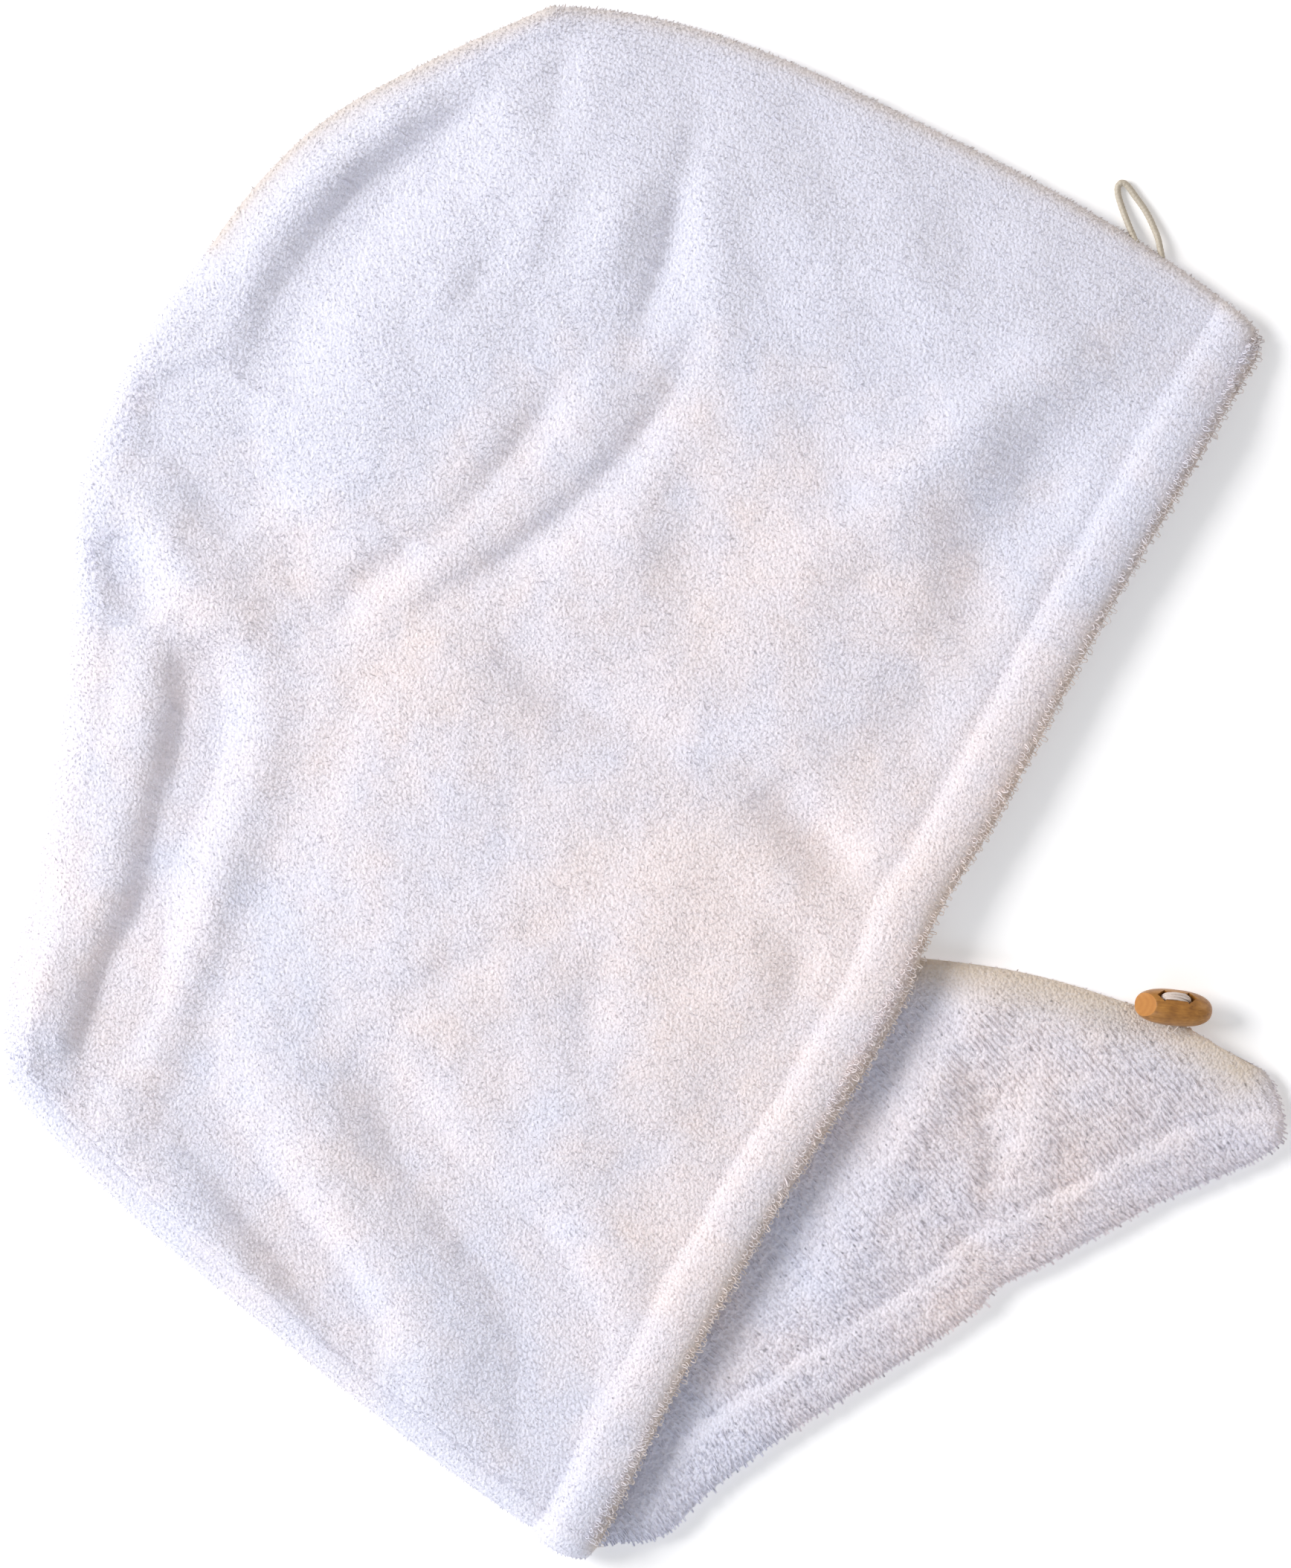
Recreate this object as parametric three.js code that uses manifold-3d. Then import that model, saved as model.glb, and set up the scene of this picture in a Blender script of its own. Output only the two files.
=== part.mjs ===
// A hair turban towel: two terry panels sewn together along their curved edge and open along a straight hem,
// folded once near the tail and lying flat. A loop of elastic leaves the seam at the nape, and a wooden toggle
// is sewn to the seam near the tail's tip. Millimetres, +Z up, lying on the plane z = 0.
import * as THREE from "three";
import { mergeVertices } from "three/addons/utils/BufferGeometryUtils.js";
import Module from "manifold-3d";

// Pattern of the folded towel
const MAIN_HEM = 398; // hem of the main part, from the nape corner to the fold
const TAIL_HEM = 234; // hem of the tail, from the fold to the tip
const POCKET_WIDTH = 277; // widest place of the pocket, from the hem to the seam
const MAIN_LEAN = 60.9; // degrees from the main hem to the X axis
const TAIL_LEAN = 31.4; // degrees from the tail hem to the X axis

// Cloth
const CLOTH_WALL = 2.5; // terry with its pile
const SEAM_GAP = 0.3; // between the two panels where they meet
const HEM_WIDTH = 18.5; // turned edge, up to its stitch line
const TOP_HEM = 4.4; // thickness of the hem that lies on top and stays puffy
const PRESSED_HEM = 3.4; // thickness of the hem that others lie on
const STITCH_DEPTH = 0.5; // how far the stitch line pulls the cloth in
const STITCH_REACH = 3; // from the full hem to the plain cloth
const RIM = 3; // radius of the rounded seam edge
const BOW_AT_HEM = 0.75; // share of a section's bow that shows near its hem end
const BOW_AT_SEAM = 1.25; // and near its seam end
const NOSE = 4.5; // how far the hem's rounded edge reaches

// How the layers lie
const POCKET_LOFT = 6; // air between the panels of the main part
const TAIL_LOFT = 2.2; // air between the panels of the tail
const EDGE_REACH = 34; // the loft rises over this distance from the seam
const TAIL_EDGE_REACH = 20; // the same on the tail
const MOUTH_REACH = 40; // the hem's mouth opens over this distance from the nape
const FOLD_REACH = 75; // the loft grows over this distance from the fold
const FOLD_CORE = 1; // radius of the air inside the fold
const FOLD_CORNER = 5; // how far the fold draws in at the seam
const LOFT_OVER_TAIL = 0.4; // share of the loft that is left where the tail lies under the main part
const LAYER_GAP = 0.6; // between the main part and the tail under it
const LEDGE = 5; // the raised cloth runs on past the tail's edge by this much
const DRAPE_REACH = 40; // and comes down to the table over this distance
const UNDER_REACH = 22; // the tail's loft grows over this distance from the main hem

// Toggle, its thread and the elastic loop
const TOGGLE_LENGTH = 22.6;
const TOGGLE_DIAMETER = 10.5;
const TOGGLE_ROUND = 3; // exponent of the barrel's outline: 2 is an ellipse, more is blunter
const TOGGLE_PLACE = 0.968; // where it sits on the tail's seam, as a share of TAIL_HEM
const TOGGLE_TURN = -6.7; // degrees from the X axis, seen from above
const TOGGLE_RISE = 7; // degrees that the cut end is lifted
const TOGGLE_ROLL = 43; // degrees that the notched side leans off the cloth
const CUT_SLOPE = 45; // degrees of the slanting cut at one end
const CUT_FROM_END = 0.6; // where that cut crosses the axis
const HOLE_SPACING = 7.2;
const HOLE_DIAMETER = 3.2;
const NOTCH_SIDE = 3; // of the square notch round each hole, set corner to corner
const SADDLE_DEPTH = 1.7; // of the channel between the holes
const THREAD_DIAMETER = 2.5;
const FIT_GAP = 0.3; // clearance between pieces that touch
const SEAT_GAP = 0.6; // between the toggle and the pile that it rests on
const LOOP_DIAMETER = 2;
const LOOP_SHARE = 0.213; // where the loop leaves the nape edge, as a share of that edge

// Sections of the main part, from the nape to the fold. Each joins a place on the hem to a place on the seam:
// along in shares of MAIN_HEM, in and across in shares of POCKET_WIDTH, bow in shares of MAIN_HEM.
const MAIN_SECTIONS = [
  { hemAlong: -0.014, hemIn: 0.002, seamAlong: 0.03, seamAcross: 0.825, bow: -0.035 },
  { hemAlong: 0.06, hemIn: 0.005, seamAlong: 0.102, seamAcross: 0.902, bow: -0.012 },
  { hemAlong: 0.14, hemIn: 0.007, seamAlong: 0.175, seamAcross: 0.968, bow: 0 },
  { hemAlong: 0.22, hemIn: 0.01, seamAlong: 0.24, seamAcross: 1, bow: 0 },
  { hemAlong: 0.3, hemIn: 0.009, seamAlong: 0.312, seamAcross: 1.015, bow: 0 },
  { hemAlong: 0.39, hemIn: 0.007, seamAlong: 0.385, seamAcross: 1.027, bow: 0 },
  { hemAlong: 0.475, hemIn: 0.012, seamAlong: 0.452, seamAcross: 1.021, bow: 0 },
  { hemAlong: 0.535, hemIn: -0.001, seamAlong: 0.505, seamAcross: 1.008, bow: 0 },
  { hemAlong: 0.6, hemIn: 0, seamAlong: 0.555, seamAcross: 0.974, bow: 0 },
  { hemAlong: 0.68, hemIn: 0.007, seamAlong: 0.62, seamAcross: 0.928, bow: 0 },
  { hemAlong: 0.76, hemIn: 0.011, seamAlong: 0.7, seamAcross: 0.883, bow: 0 },
  { hemAlong: 0.84, hemIn: 0.011, seamAlong: 0.77, seamAcross: 0.848, bow: 0.005 },
  { hemAlong: 0.91, hemIn: 0.007, seamAlong: 0.83, seamAcross: 0.826, bow: 0.01 },
  { hemAlong: 0.988, hemIn: 0.002, seamAlong: 0.884, seamAcross: 0.79, bow: 0.017 },
];

// Sections of the tail, from the fold to the tip, in shares of TAIL_HEM and POCKET_WIDTH. The first section is
// the last one of the main part, because the cloth turns round the fold there.
const TAIL_SECTIONS = [
  { hemAlong: 0.09, hemIn: -0.017, seamAlong: -0.2, seamAcross: 0.727, bow: -0.01 },
  { hemAlong: 0.16, hemIn: -0.004, seamAlong: -0.12, seamAcross: 0.704, bow: -0.004 },
  { hemAlong: 0.27, hemIn: 0.005, seamAlong: 0.01, seamAcross: 0.664, bow: 0 },
  { hemAlong: 0.37, hemIn: 0.007, seamAlong: 0.14, seamAcross: 0.624, bow: 0 },
  { hemAlong: 0.46, hemIn: 0.008, seamAlong: 0.26, seamAcross: 0.583, bow: 0 },
  { hemAlong: 0.57, hemIn: 0.013, seamAlong: 0.41, seamAcross: 0.524, bow: 0 },
  { hemAlong: 0.6, hemIn: 0.022, seamAlong: 0.45, seamAcross: 0.507, bow: 0 },
  { hemAlong: 0.65, hemIn: 0.018, seamAlong: 0.515, seamAcross: 0.477, bow: 0 },
  { hemAlong: 0.76, hemIn: 0.012, seamAlong: 0.655, seamAcross: 0.405, bow: 0 },
  { hemAlong: 0.82, hemIn: 0.0105, seamAlong: 0.737, seamAcross: 0.354, bow: 0 },
  { hemAlong: 0.87, hemIn: 0.005, seamAlong: 0.812, seamAcross: 0.303, bow: 0 },
  { hemAlong: 0.91, hemIn: 0, seamAlong: 0.868, seamAcross: 0.257, bow: 0 },
  { hemAlong: 0.94, hemIn: -0.004, seamAlong: 0.912, seamAcross: 0.214, bow: 0.001 },
  { hemAlong: 0.97, hemIn: -0.005, seamAlong: 0.962, seamAcross: 0.163, bow: 0.006 },
  { hemAlong: 0.994, hemIn: -0.004, seamAlong: 1.004, seamAcross: 0.088, bow: 0.022 },
];

// Soft folds of the upper cloth. Each is a bent line from one place over a second to a third, in the same shares
// as the sections. Width is a share of POCKET_WIDTH and height of POCKET_LOFT, below zero for a valley.
const MAIN_FOLDS = [
  { name: "crown valley", from: [0.1, 0.79], over: [0.219, 0.908], to: [0.343, 0.9], width: 0.045, height: -0.55 },
  { name: "crown groove", from: [0.07, 0.58], over: [0.134, 0.568], to: [0.2, 0.555], width: 0.022, height: -0.45 },
  { name: "crown ridge", from: [0.113, 0.514], over: [0.167, 0.493], to: [0.237, 0.468], width: 0.03, height: 0.3 },
  { name: "crown swell", from: [0.086, 0.668], over: [0.146, 0.647], to: [0.21, 0.622], width: 0.035, height: 0.3 },
  { name: "middle groove", from: [0.222, 0.455], over: [0.349, 0.503], to: [0.498, 0.688], width: 0.024, height: -0.45 },
  { name: "middle ridge", from: [0.18, 0.45], over: [0.272, 0.42], to: [0.388, 0.43], width: 0.03, height: 0.35 },
  { name: "left valley", from: [0.55, 0.955], over: [0.548, 0.8], to: [0.691, 0.761], width: 0.036, height: -0.7 },
  { name: "left valley end", from: [0.691, 0.761], over: [0.738, 0.741], to: [0.79, 0.723], width: 0.034, height: -0.5 },
  { name: "left ridge", from: [0.54, 0.832], over: [0.589, 0.69], to: [0.813, 0.645], width: 0.032, height: 0.4 },
  { name: "small valley", from: [0.659, 0.678], over: [0.737, 0.634], to: [0.826, 0.6], width: 0.024, height: -0.3 },
  { name: "broad dip", from: [0.478, 0.566], over: [0.439, 0.351], to: [0.486, 0.16], width: 0.06, height: -0.25 },
  { name: "right hollow", from: [0.6, 0.2], over: [0.575, 0.14], to: [0.565, 0.09], width: 0.05, height: -0.3 },
  { name: "middle hollow", from: [0.682, 0.44], over: [0.667, 0.319], to: [0.661, 0.223], width: 0.05, height: -0.3 },
  { name: "low valley", from: [0.76, 0.478], over: [0.827, 0.271], to: [0.94, 0.09], width: 0.035, height: -0.35 },
];
// Heights here are shares of TAIL_LOFT.
const TAIL_FOLDS = [
  { name: "tail valley", from: [0.72, 0.32], over: [0.718, 0.217], to: [0.664, 0.106], width: 0.03, height: -0.55 },
  { name: "tail ridge", from: [0.85, 0.23], over: [0.831, 0.169], to: [0.761, 0.1], width: 0.035, height: 0.4 },
  { name: "tail swell", from: [0.6, 0.36], over: [0.585, 0.22], to: [0.52, 0.12], width: 0.035, height: 0.35 },
];

// Mesh
const STEPS = { main: 23, fold: 7, tail: 14, inner: 13, bezier: 12, barrel: 14, barrelSides: 20, loop: 26, thread: 16 };
const CORD_SIDES = 8;
const RIM_STEPS = [0, 0.8, RIM]; // distances of the first rows from a seam edge
const HEM_STEPS = [0, 0.08, 0.32, 0.68, 0.88, 1, 1.2]; // columns over the hem, in shares of HEM_WIDTH
const INSET_REACH = 9; // the inner face draws in over this distance from the seam edge
const SHORT_SECTION = 60; // sections shorter than this have their hem and rim narrowed

// Route of the elastic loop: chosen points, to the right and up from where its first leg leaves the nape edge,
// and above the table
const LOOP_ROUTE = [
  [-0.3, 1.5, 2.6],
  [-1.3, 4, 2.1],
  [-3.1, 8.9, 1.4],
  [-4.2, 12.9, 1.1],
  [-4.1, 14.9, 1.05],
  [-3, 15.9, 1.05],
  [-1.7, 15.3, 1.05],
  [0.9, 11.9, 1.1],
  [3.7, 7.9, 1.3],
  [5.9, 3.5, 1.8],
  [7.4, -0.5, 2.4],
  [7.9, -2.9, 2.6],
];

const radians = THREE.MathUtils.degToRad;
const lerp = THREE.MathUtils.lerp;
const clamp = THREE.MathUtils.clamp;
const smooth = (x) => THREE.MathUtils.smoothstep(x, 0, 1);
const vec2 = (x, y) => new THREE.Vector2(x, y);

// Plan frames: one along the main hem, one along the tail hem, both measured from the fold's end of the hem
const mainRun = vec2(-Math.cos(radians(MAIN_LEAN)), -Math.sin(radians(MAIN_LEAN)));
const mainIn = vec2(mainRun.y, -mainRun.x);
const tailRun = vec2(Math.cos(radians(TAIL_LEAN)), Math.sin(radians(TAIL_LEAN)));
const tailIn = vec2(-tailRun.y, tailRun.x);
const napeCorner = mainRun.clone().multiplyScalar(-MAIN_HEM);

function mainPlace(along, across) {
  return napeCorner
    .clone()
    .addScaledVector(mainRun, along * MAIN_HEM)
    .addScaledVector(mainIn, across * POCKET_WIDTH);
}

function tailPlace(along, across) {
  return vec2(0, 0)
    .addScaledVector(tailRun, along * TAIL_HEM)
    .addScaledVector(tailIn, across * POCKET_WIDTH);
}

// A section as plan points: the two ends and the sideways bow of the line between them
const mainRows = MAIN_SECTIONS.map((s) => ({
  key: s.hemAlong,
  hem: mainPlace(s.hemAlong, s.hemIn),
  seam: mainPlace(s.seamAlong, s.seamAcross),
  bow: mainRun.clone().multiplyScalar(s.bow * MAIN_HEM),
}));
const foldRow = mainRows[mainRows.length - 1];
const foldAxis = foldRow.seam.clone().sub(foldRow.hem).normalize();
const foldOut = vec2(-foldAxis.y, foldAxis.x); // away from the cloth, square to the fold
const tailRows = [
  { ...foldRow, key: foldRow.hem.dot(tailRun) / TAIL_HEM },
  ...TAIL_SECTIONS.map((s) => ({
    key: s.hemAlong,
    hem: tailPlace(s.hemAlong, s.hemIn),
    seam: tailPlace(s.seamAlong, s.seamAcross),
    bow: tailRun.clone().multiplyScalar(s.bow * TAIL_HEM),
  })),
];

// Smooth curve through a table's values at its keys
function through(keys, values, x) {
  const last = keys.length - 1;
  let i = 0;
  while (i < last - 1 && x > keys[i + 1]) i += 1;
  const slope = (n) => {
    const a = Math.max(n - 1, 0);
    const b = Math.min(n + 1, last);
    return (values[b] - values[a]) / (keys[b] - keys[a]);
  };
  const span = keys[i + 1] - keys[i];
  const t = (x - keys[i]) / span;
  const rest = 1 - t;
  return (
    values[i] * (1 + 2 * t) * rest * rest +
    values[i + 1] * t * t * (3 - 2 * t) +
    slope(i) * span * t * rest * rest -
    slope(i + 1) * span * t * t * rest
  );
}

// Share of a section's bow at a share of its length
const bowShare = (share) => (1 - Math.abs(2 * share - 1) ** 3) * lerp(BOW_AT_HEM, BOW_AT_SEAM, share);

function rowAt(rows, key) {
  const keys = rows.map((r) => r.key);
  const curve = (pick) => through(keys, rows.map(pick), key);
  return {
    hem: vec2(curve((r) => r.hem.x), curve((r) => r.hem.y)),
    seam: vec2(curve((r) => r.seam.x), curve((r) => r.seam.y)),
    bow: vec2(curve((r) => r.bow.x), curve((r) => r.bow.y)),
  };
}

// Thickness of a panel at a distance from its hem
function thickness(fromHem, hemHeight) {
  const band = 1 - smooth((fromHem - HEM_WIDTH + STITCH_REACH) / STITCH_REACH);
  const stitch = Math.exp(-(((fromHem - HEM_WIDTH) / (STITCH_REACH / 2)) ** 2));
  return CLOTH_WALL + (hemHeight - CLOTH_WALL) * band - STITCH_DEPTH * stitch;
}

// Share of the full height at a distance from a rounded seam edge
function rimShare(distance) {
  const rest = 1 - clamp(distance / RIM, 0, 1);
  return Math.sqrt(1 - rest * rest);
}

function noseShare(fromHem) {
  const rest = 1 - clamp(fromHem / NOSE, 0, 1);
  return Math.sqrt(1 - 0.92 * rest * rest);
}

// Points and nearest distance of a bent fold line
function foldLine(fold, place) {
  const [a, b, c] = [fold.from, fold.over, fold.to].map((p) => place(p[0], p[1]));
  const pull = b.clone().multiplyScalar(2).addScaledVector(a, -0.5).addScaledVector(c, -0.5);
  const curve = new THREE.QuadraticBezierCurve(a, pull, c);
  return { ...fold, points: curve.getPoints(STEPS.bezier) };
}

function foldHeight(line, point) {
  let nearest = Infinity;
  let along = 0;
  for (let i = 0; i < STEPS.bezier; i += 1) {
    const a = line.points[i];
    const span = line.points[i + 1].clone().sub(a);
    const t = clamp(point.clone().sub(a).dot(span) / span.lengthSq(), 0, 1);
    const d = point.distanceTo(a.clone().addScaledVector(span, t));
    if (d < nearest) {
      nearest = d;
      along = (i + t) / STEPS.bezier;
    }
  }
  const taper = Math.sqrt(Math.sin(Math.PI * clamp(along, 0.03, 0.97)));
  return line.height * taper * Math.exp(-((nearest / (line.width * POCKET_WIDTH)) ** 2));
}

const mainLines = MAIN_FOLDS.map((f) => foldLine(f, mainPlace));
const tailLines = TAIL_FOLDS.map((f) => foldLine(f, tailPlace));
const foldsAt = (lines, point) => lines.reduce((sum, line) => sum + foldHeight(line, point), 0);

// Coordinates of a plan point: out from the fold, in from each hem, and inside the tail's seam
const fromFold = (point) => -point.clone().sub(foldRow.hem).dot(foldOut);
const fromMainHem = (point) => point.clone().sub(napeCorner).dot(mainIn);
const tailSeamKeys = tailRows.map((r) => r.seam.dot(tailRun));
const tailSeamValues = tailRows.map((r) => r.seam.dot(tailIn));
const seamOverTail = (along) => {
  const inside = clamp(along, tailSeamKeys[0], tailSeamKeys[tailSeamKeys.length - 1]);
  return through(tailSeamKeys, tailSeamValues, inside);
};
const insideTail = (point) => seamOverTail(point.dot(tailRun)) - point.dot(tailIn);

// Height of the tail's two panels under the main part, and how far the main part is lifted over them
function tailStack(point) {
  const fromTailHem = point.dot(tailIn);
  const band = 1 - smooth((fromTailHem - HEM_WIDTH) / STITCH_REACH / 2);
  const extra = PRESSED_HEM + TOP_HEM - 2 * CLOTH_WALL;
  return 2 * CLOTH_WALL + SEAM_GAP + extra * band;
}

const overTail = (point) => smooth((insideTail(point) + LEDGE + DRAPE_REACH) / DRAPE_REACH);
const liftAt = (point) => overTail(point) * (tailStack(point) + LAYER_GAP);

function mainLoft(point, fromSeam, fromNape) {
  const rise = smooth(fromSeam / EDGE_REACH) * smooth(fromNape / MOUTH_REACH);
  const open = smooth(fromFold(point) / FOLD_REACH);
  const level = POCKET_LOFT * rise * open * lerp(1, LOFT_OVER_TAIL, overTail(point));
  const folds = foldsAt(mainLines, point) * smooth((fromMainHem(point) - HEM_WIDTH / 2) / HEM_WIDTH);
  return level * Math.max(1 + folds, 0.05);
}

function tailLoft(point, fromSeam, fromTip) {
  const rise = smooth(fromSeam / TAIL_EDGE_REACH) * smooth(fromTip / TAIL_EDGE_REACH);
  const shown = smooth(-(fromMainHem(point) + RIM) / UNDER_REACH);
  const inside = smooth(point.dot(tailIn) / HEM_WIDTH / 2);
  return TAIL_LOFT * rise * shown * inside * Math.max(1 + foldsAt(tailLines, point), 0.05);
}

// Rows of the cloth, from the nape over the fold to the tip. The key follows the hem, end is the distance from
// the seamed end of the row's part, and turn is the angle round the fold, from up at 90 to down at -90.
function clothRows() {
  const first = mainRows[0].key * MAIN_HEM;
  const foldAt = foldRow.key * MAIN_HEM;
  const rows = RIM_STEPS.map((d) => ({ part: "main", end: d }));
  for (let i = 1; i < STEPS.main; i += 1) {
    const share = i / STEPS.main;
    rows.push({ part: "main", end: lerp(RIM, foldAt - first, share) });
  }
  for (let i = 0; i <= STEPS.fold; i += 1) rows.push({ part: "fold", turn: 90 - (180 * i) / STEPS.fold });
  const tailFrom = tailRows[0].key * TAIL_HEM;
  const tailTo = tailRows[tailRows.length - 1].key * TAIL_HEM;
  for (let i = 1; i < STEPS.tail; i += 1) {
    rows.push({ part: "tail", end: lerp(tailTo - tailFrom, RIM, i / STEPS.tail) });
  }
  for (const d of [...RIM_STEPS].reverse()) rows.push({ part: "tail", end: d });
  return rows;
}

// Plan line of a row. The inset draws it in from the seamed end, for the inner face.
function lineOf(row, inset) {
  if (row.part === "main") return rowAt(mainRows, mainRows[0].key + (row.end + inset) / MAIN_HEM);
  if (row.part === "tail") {
    return rowAt(tailRows, tailRows[tailRows.length - 1].key - (row.end + inset) / TAIL_HEM);
  }
  return foldRow;
}

const insetAt = (distance) => CLOTH_WALL * (1 - clamp(distance / INSET_REACH, 0, 1));

// Distance from the hem of each column of a section of a given length
function columnsOf(length) {
  const k = Math.min(1, length / SHORT_SECTION);
  const hem = HEM_STEPS.map((share) => share * HEM_WIDTH * k);
  const rim = [INSET_REACH, ...[...RIM_STEPS].reverse()].map((d) => length - d * k);
  const from = hem[hem.length - 1];
  const inner = [];
  for (let i = 1; i < STEPS.inner; i += 1) inner.push(lerp(from, rim[0], i / STEPS.inner));
  return { scale: k, places: [...hem, ...inner, ...rim] };
}

// Heights of the four faces at a place: the outside and inside of the lower and of the upper panel
function facesAt(place) {
  const { part, point, fromHem, fromSeam, end } = place;
  const rim = rimShare(fromSeam) * rimShare(end);
  const nearFold = part === "fold" ? 1 : 1 - smooth(fromFold(point) / HEM_WIDTH / 2);
  const lower = thickness(fromHem, PRESSED_HEM);
  const upper = thickness(fromHem, lerp(TOP_HEM, PRESSED_HEM, nearFold));
  let base = 0;
  let loft = 0;
  if (part === "fold") base = FOLD_CORE;
  if (part === "tail") loft = tailLoft(point, fromSeam, end);
  if (part === "main") {
    loft = mainLoft(point, fromSeam, end);
    const foldTop = 2 * thickness(fromHem, PRESSED_HEM) + SEAM_GAP + 2 * FOLD_CORE;
    base = lerp(liftAt(point), foldTop, nearFold);
  }
  const seam = base + lower + SEAM_GAP / 2;
  return {
    lowerOut: seam - SEAM_GAP / 2 - lower * rim,
    lowerIn: seam - SEAM_GAP / 2,
    upperIn: seam + SEAM_GAP / 2 + loft,
    upperOut: seam + SEAM_GAP / 2 + (loft + upper) * rim,
  };
}

// One point of the cloth: the place on the row's line, lifted or turned round the fold
function clothPoint(row, column, layer, side) {
  const inner = side === "In";
  const rowInset = inner && row.part !== "fold" ? insetAt(row.end) : 0;
  const end = row.part === "fold" ? Infinity : row.end + rowInset;
  const line = lineOf(row, rowInset);
  const across = line.seam.clone().sub(line.hem);
  const length = across.length();
  const { scale, places } = columnsOf(length);
  const plain = (length - places[column]) / scale;
  const fromSeam = plain + (inner ? insetAt(plain) : 0);
  const fromHem = places[column] / scale;
  const share = clamp((length - fromSeam * scale) / length, 0, 1);
  const drawn = row.part === "fold" ? FOLD_CORNER * Math.cos(radians(row.turn)) * share ** 4 : 0;
  const point = line.hem
    .clone()
    .addScaledVector(across, share - drawn / length)
    .addScaledVector(line.bow, bowShare(share));
  const faces = facesAt({ part: row.part, point, fromHem, fromSeam, end });
  const out = faces[`${layer}Out`];
  const into = faces[`${layer}In`];
  const middle = (out + into) / 2;
  const height = lerp(middle, inner ? into : out, noseShare(fromHem));
  if (row.part !== "fold") return new THREE.Vector3(point.x, point.y, height);
  const whole = facesAt({ part: "fold", point, fromHem, fromSeam: Infinity, end: Infinity }).upperOut;
  const angle = radians(row.turn);
  point.addScaledVector(foldOut, height * Math.cos(angle));
  return new THREE.Vector3(point.x, point.y, whole + height * Math.sin(angle));
}

const faceOfPanel = {
  front: { main: "upper", fold: "upper", tail: "lower" },
  back: { main: "lower", fold: "lower", tail: "upper" },
};

// A panel as one closed body: its outer and inner faces over the same rows and columns, and a strip round the edge
function panelGeometry(panel) {
  const rows = clothRows();
  const columns = HEM_STEPS.length + STEPS.inner - 1 + RIM_STEPS.length + 1;
  const positions = [];
  for (const side of ["Out", "In"]) {
    for (const row of rows) {
      for (let column = 0; column < columns; column += 1) {
        positions.push(...clothPoint(row, column, faceOfPanel[panel][row.part], side).toArray());
      }
    }
  }
  const outAt = (i, j) => i * columns + j;
  const inAt = (i, j) => (rows.length + i) * columns + j;
  const faces = [];
  const quad = (a, b, c, d) => faces.push(a, b, c, a, c, d);
  const endRow = rows.length - 1;
  const endColumn = columns - 1;
  for (let i = 0; i < endRow; i += 1) {
    for (let j = 0; j < endColumn; j += 1) {
      quad(outAt(i, j), outAt(i, j + 1), outAt(i + 1, j + 1), outAt(i + 1, j));
      quad(inAt(i, j), inAt(i + 1, j), inAt(i + 1, j + 1), inAt(i, j + 1));
    }
    quad(outAt(i, 0), outAt(i + 1, 0), inAt(i + 1, 0), inAt(i, 0));
    quad(outAt(i + 1, endColumn), outAt(i, endColumn), inAt(i, endColumn), inAt(i + 1, endColumn));
  }
  for (let j = 0; j < endColumn; j += 1) {
    quad(outAt(0, j + 1), outAt(0, j), inAt(0, j), inAt(0, j + 1));
    quad(outAt(endRow, j), outAt(endRow, j + 1), inAt(endRow, j + 1), inAt(endRow, j));
  }
  if (panel === "back") faces.reverse();
  const geometry = new THREE.BufferGeometry();
  geometry.setAttribute("position", new THREE.Float32BufferAttribute(positions, 3));
  geometry.setIndex(faces);
  return geometry;
}

// Joining and cutting of closed meshes
const wasm = await Module();
wasm.setup();

function solid(geometry, matrix = new THREE.Matrix4()) {
  const bare = geometry.clone().applyMatrix4(matrix);
  bare.deleteAttribute("normal");
  bare.deleteAttribute("uv");
  const merged = mergeVertices(bare, 1e-4);
  return new wasm.Manifold(
    new wasm.Mesh({
      numProp: 3,
      vertProperties: merged.getAttribute("position").array,
      triVerts: new Uint32Array(merged.index.array),
    }),
  );
}

function geometryOf(manifold) {
  const mesh = manifold.getMesh();
  const geometry = new THREE.BufferGeometry();
  geometry.setAttribute("position", new THREE.Float32BufferAttribute(mesh.vertProperties, 3));
  geometry.setIndex(new THREE.Uint32BufferAttribute(mesh.triVerts, 1));
  return geometry;
}

function circle(diameter) {
  const turn = (2 * Math.PI) / CORD_SIDES;
  const corners = Array.from({ length: CORD_SIDES }, (_, i) =>
    vec2(Math.cos((i + 0.5) * turn), Math.sin((i + 0.5) * turn)).multiplyScalar(diameter / 2),
  );
  return new THREE.Shape(corners);
}

const tube = (diameter, curve, steps) =>
  new THREE.ExtrudeGeometry(circle(diameter), { steps, extrudePath: curve, bevelEnabled: false });

// The elastic loop, from where its first leg leaves the nape edge
function loopGeometry() {
  const edge = rowAt(mainRows, mainRows[0].key);
  const anchor = edge.hem
    .clone()
    .lerp(edge.seam, LOOP_SHARE)
    .addScaledVector(edge.bow, bowShare(LOOP_SHARE));
  const route = LOOP_ROUTE.map(([x, y, z]) => new THREE.Vector3(anchor.x + x, anchor.y + y, z));
  return tube(LOOP_DIAMETER, new THREE.CatmullRomCurve3(route), STEPS.loop);
}

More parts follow.
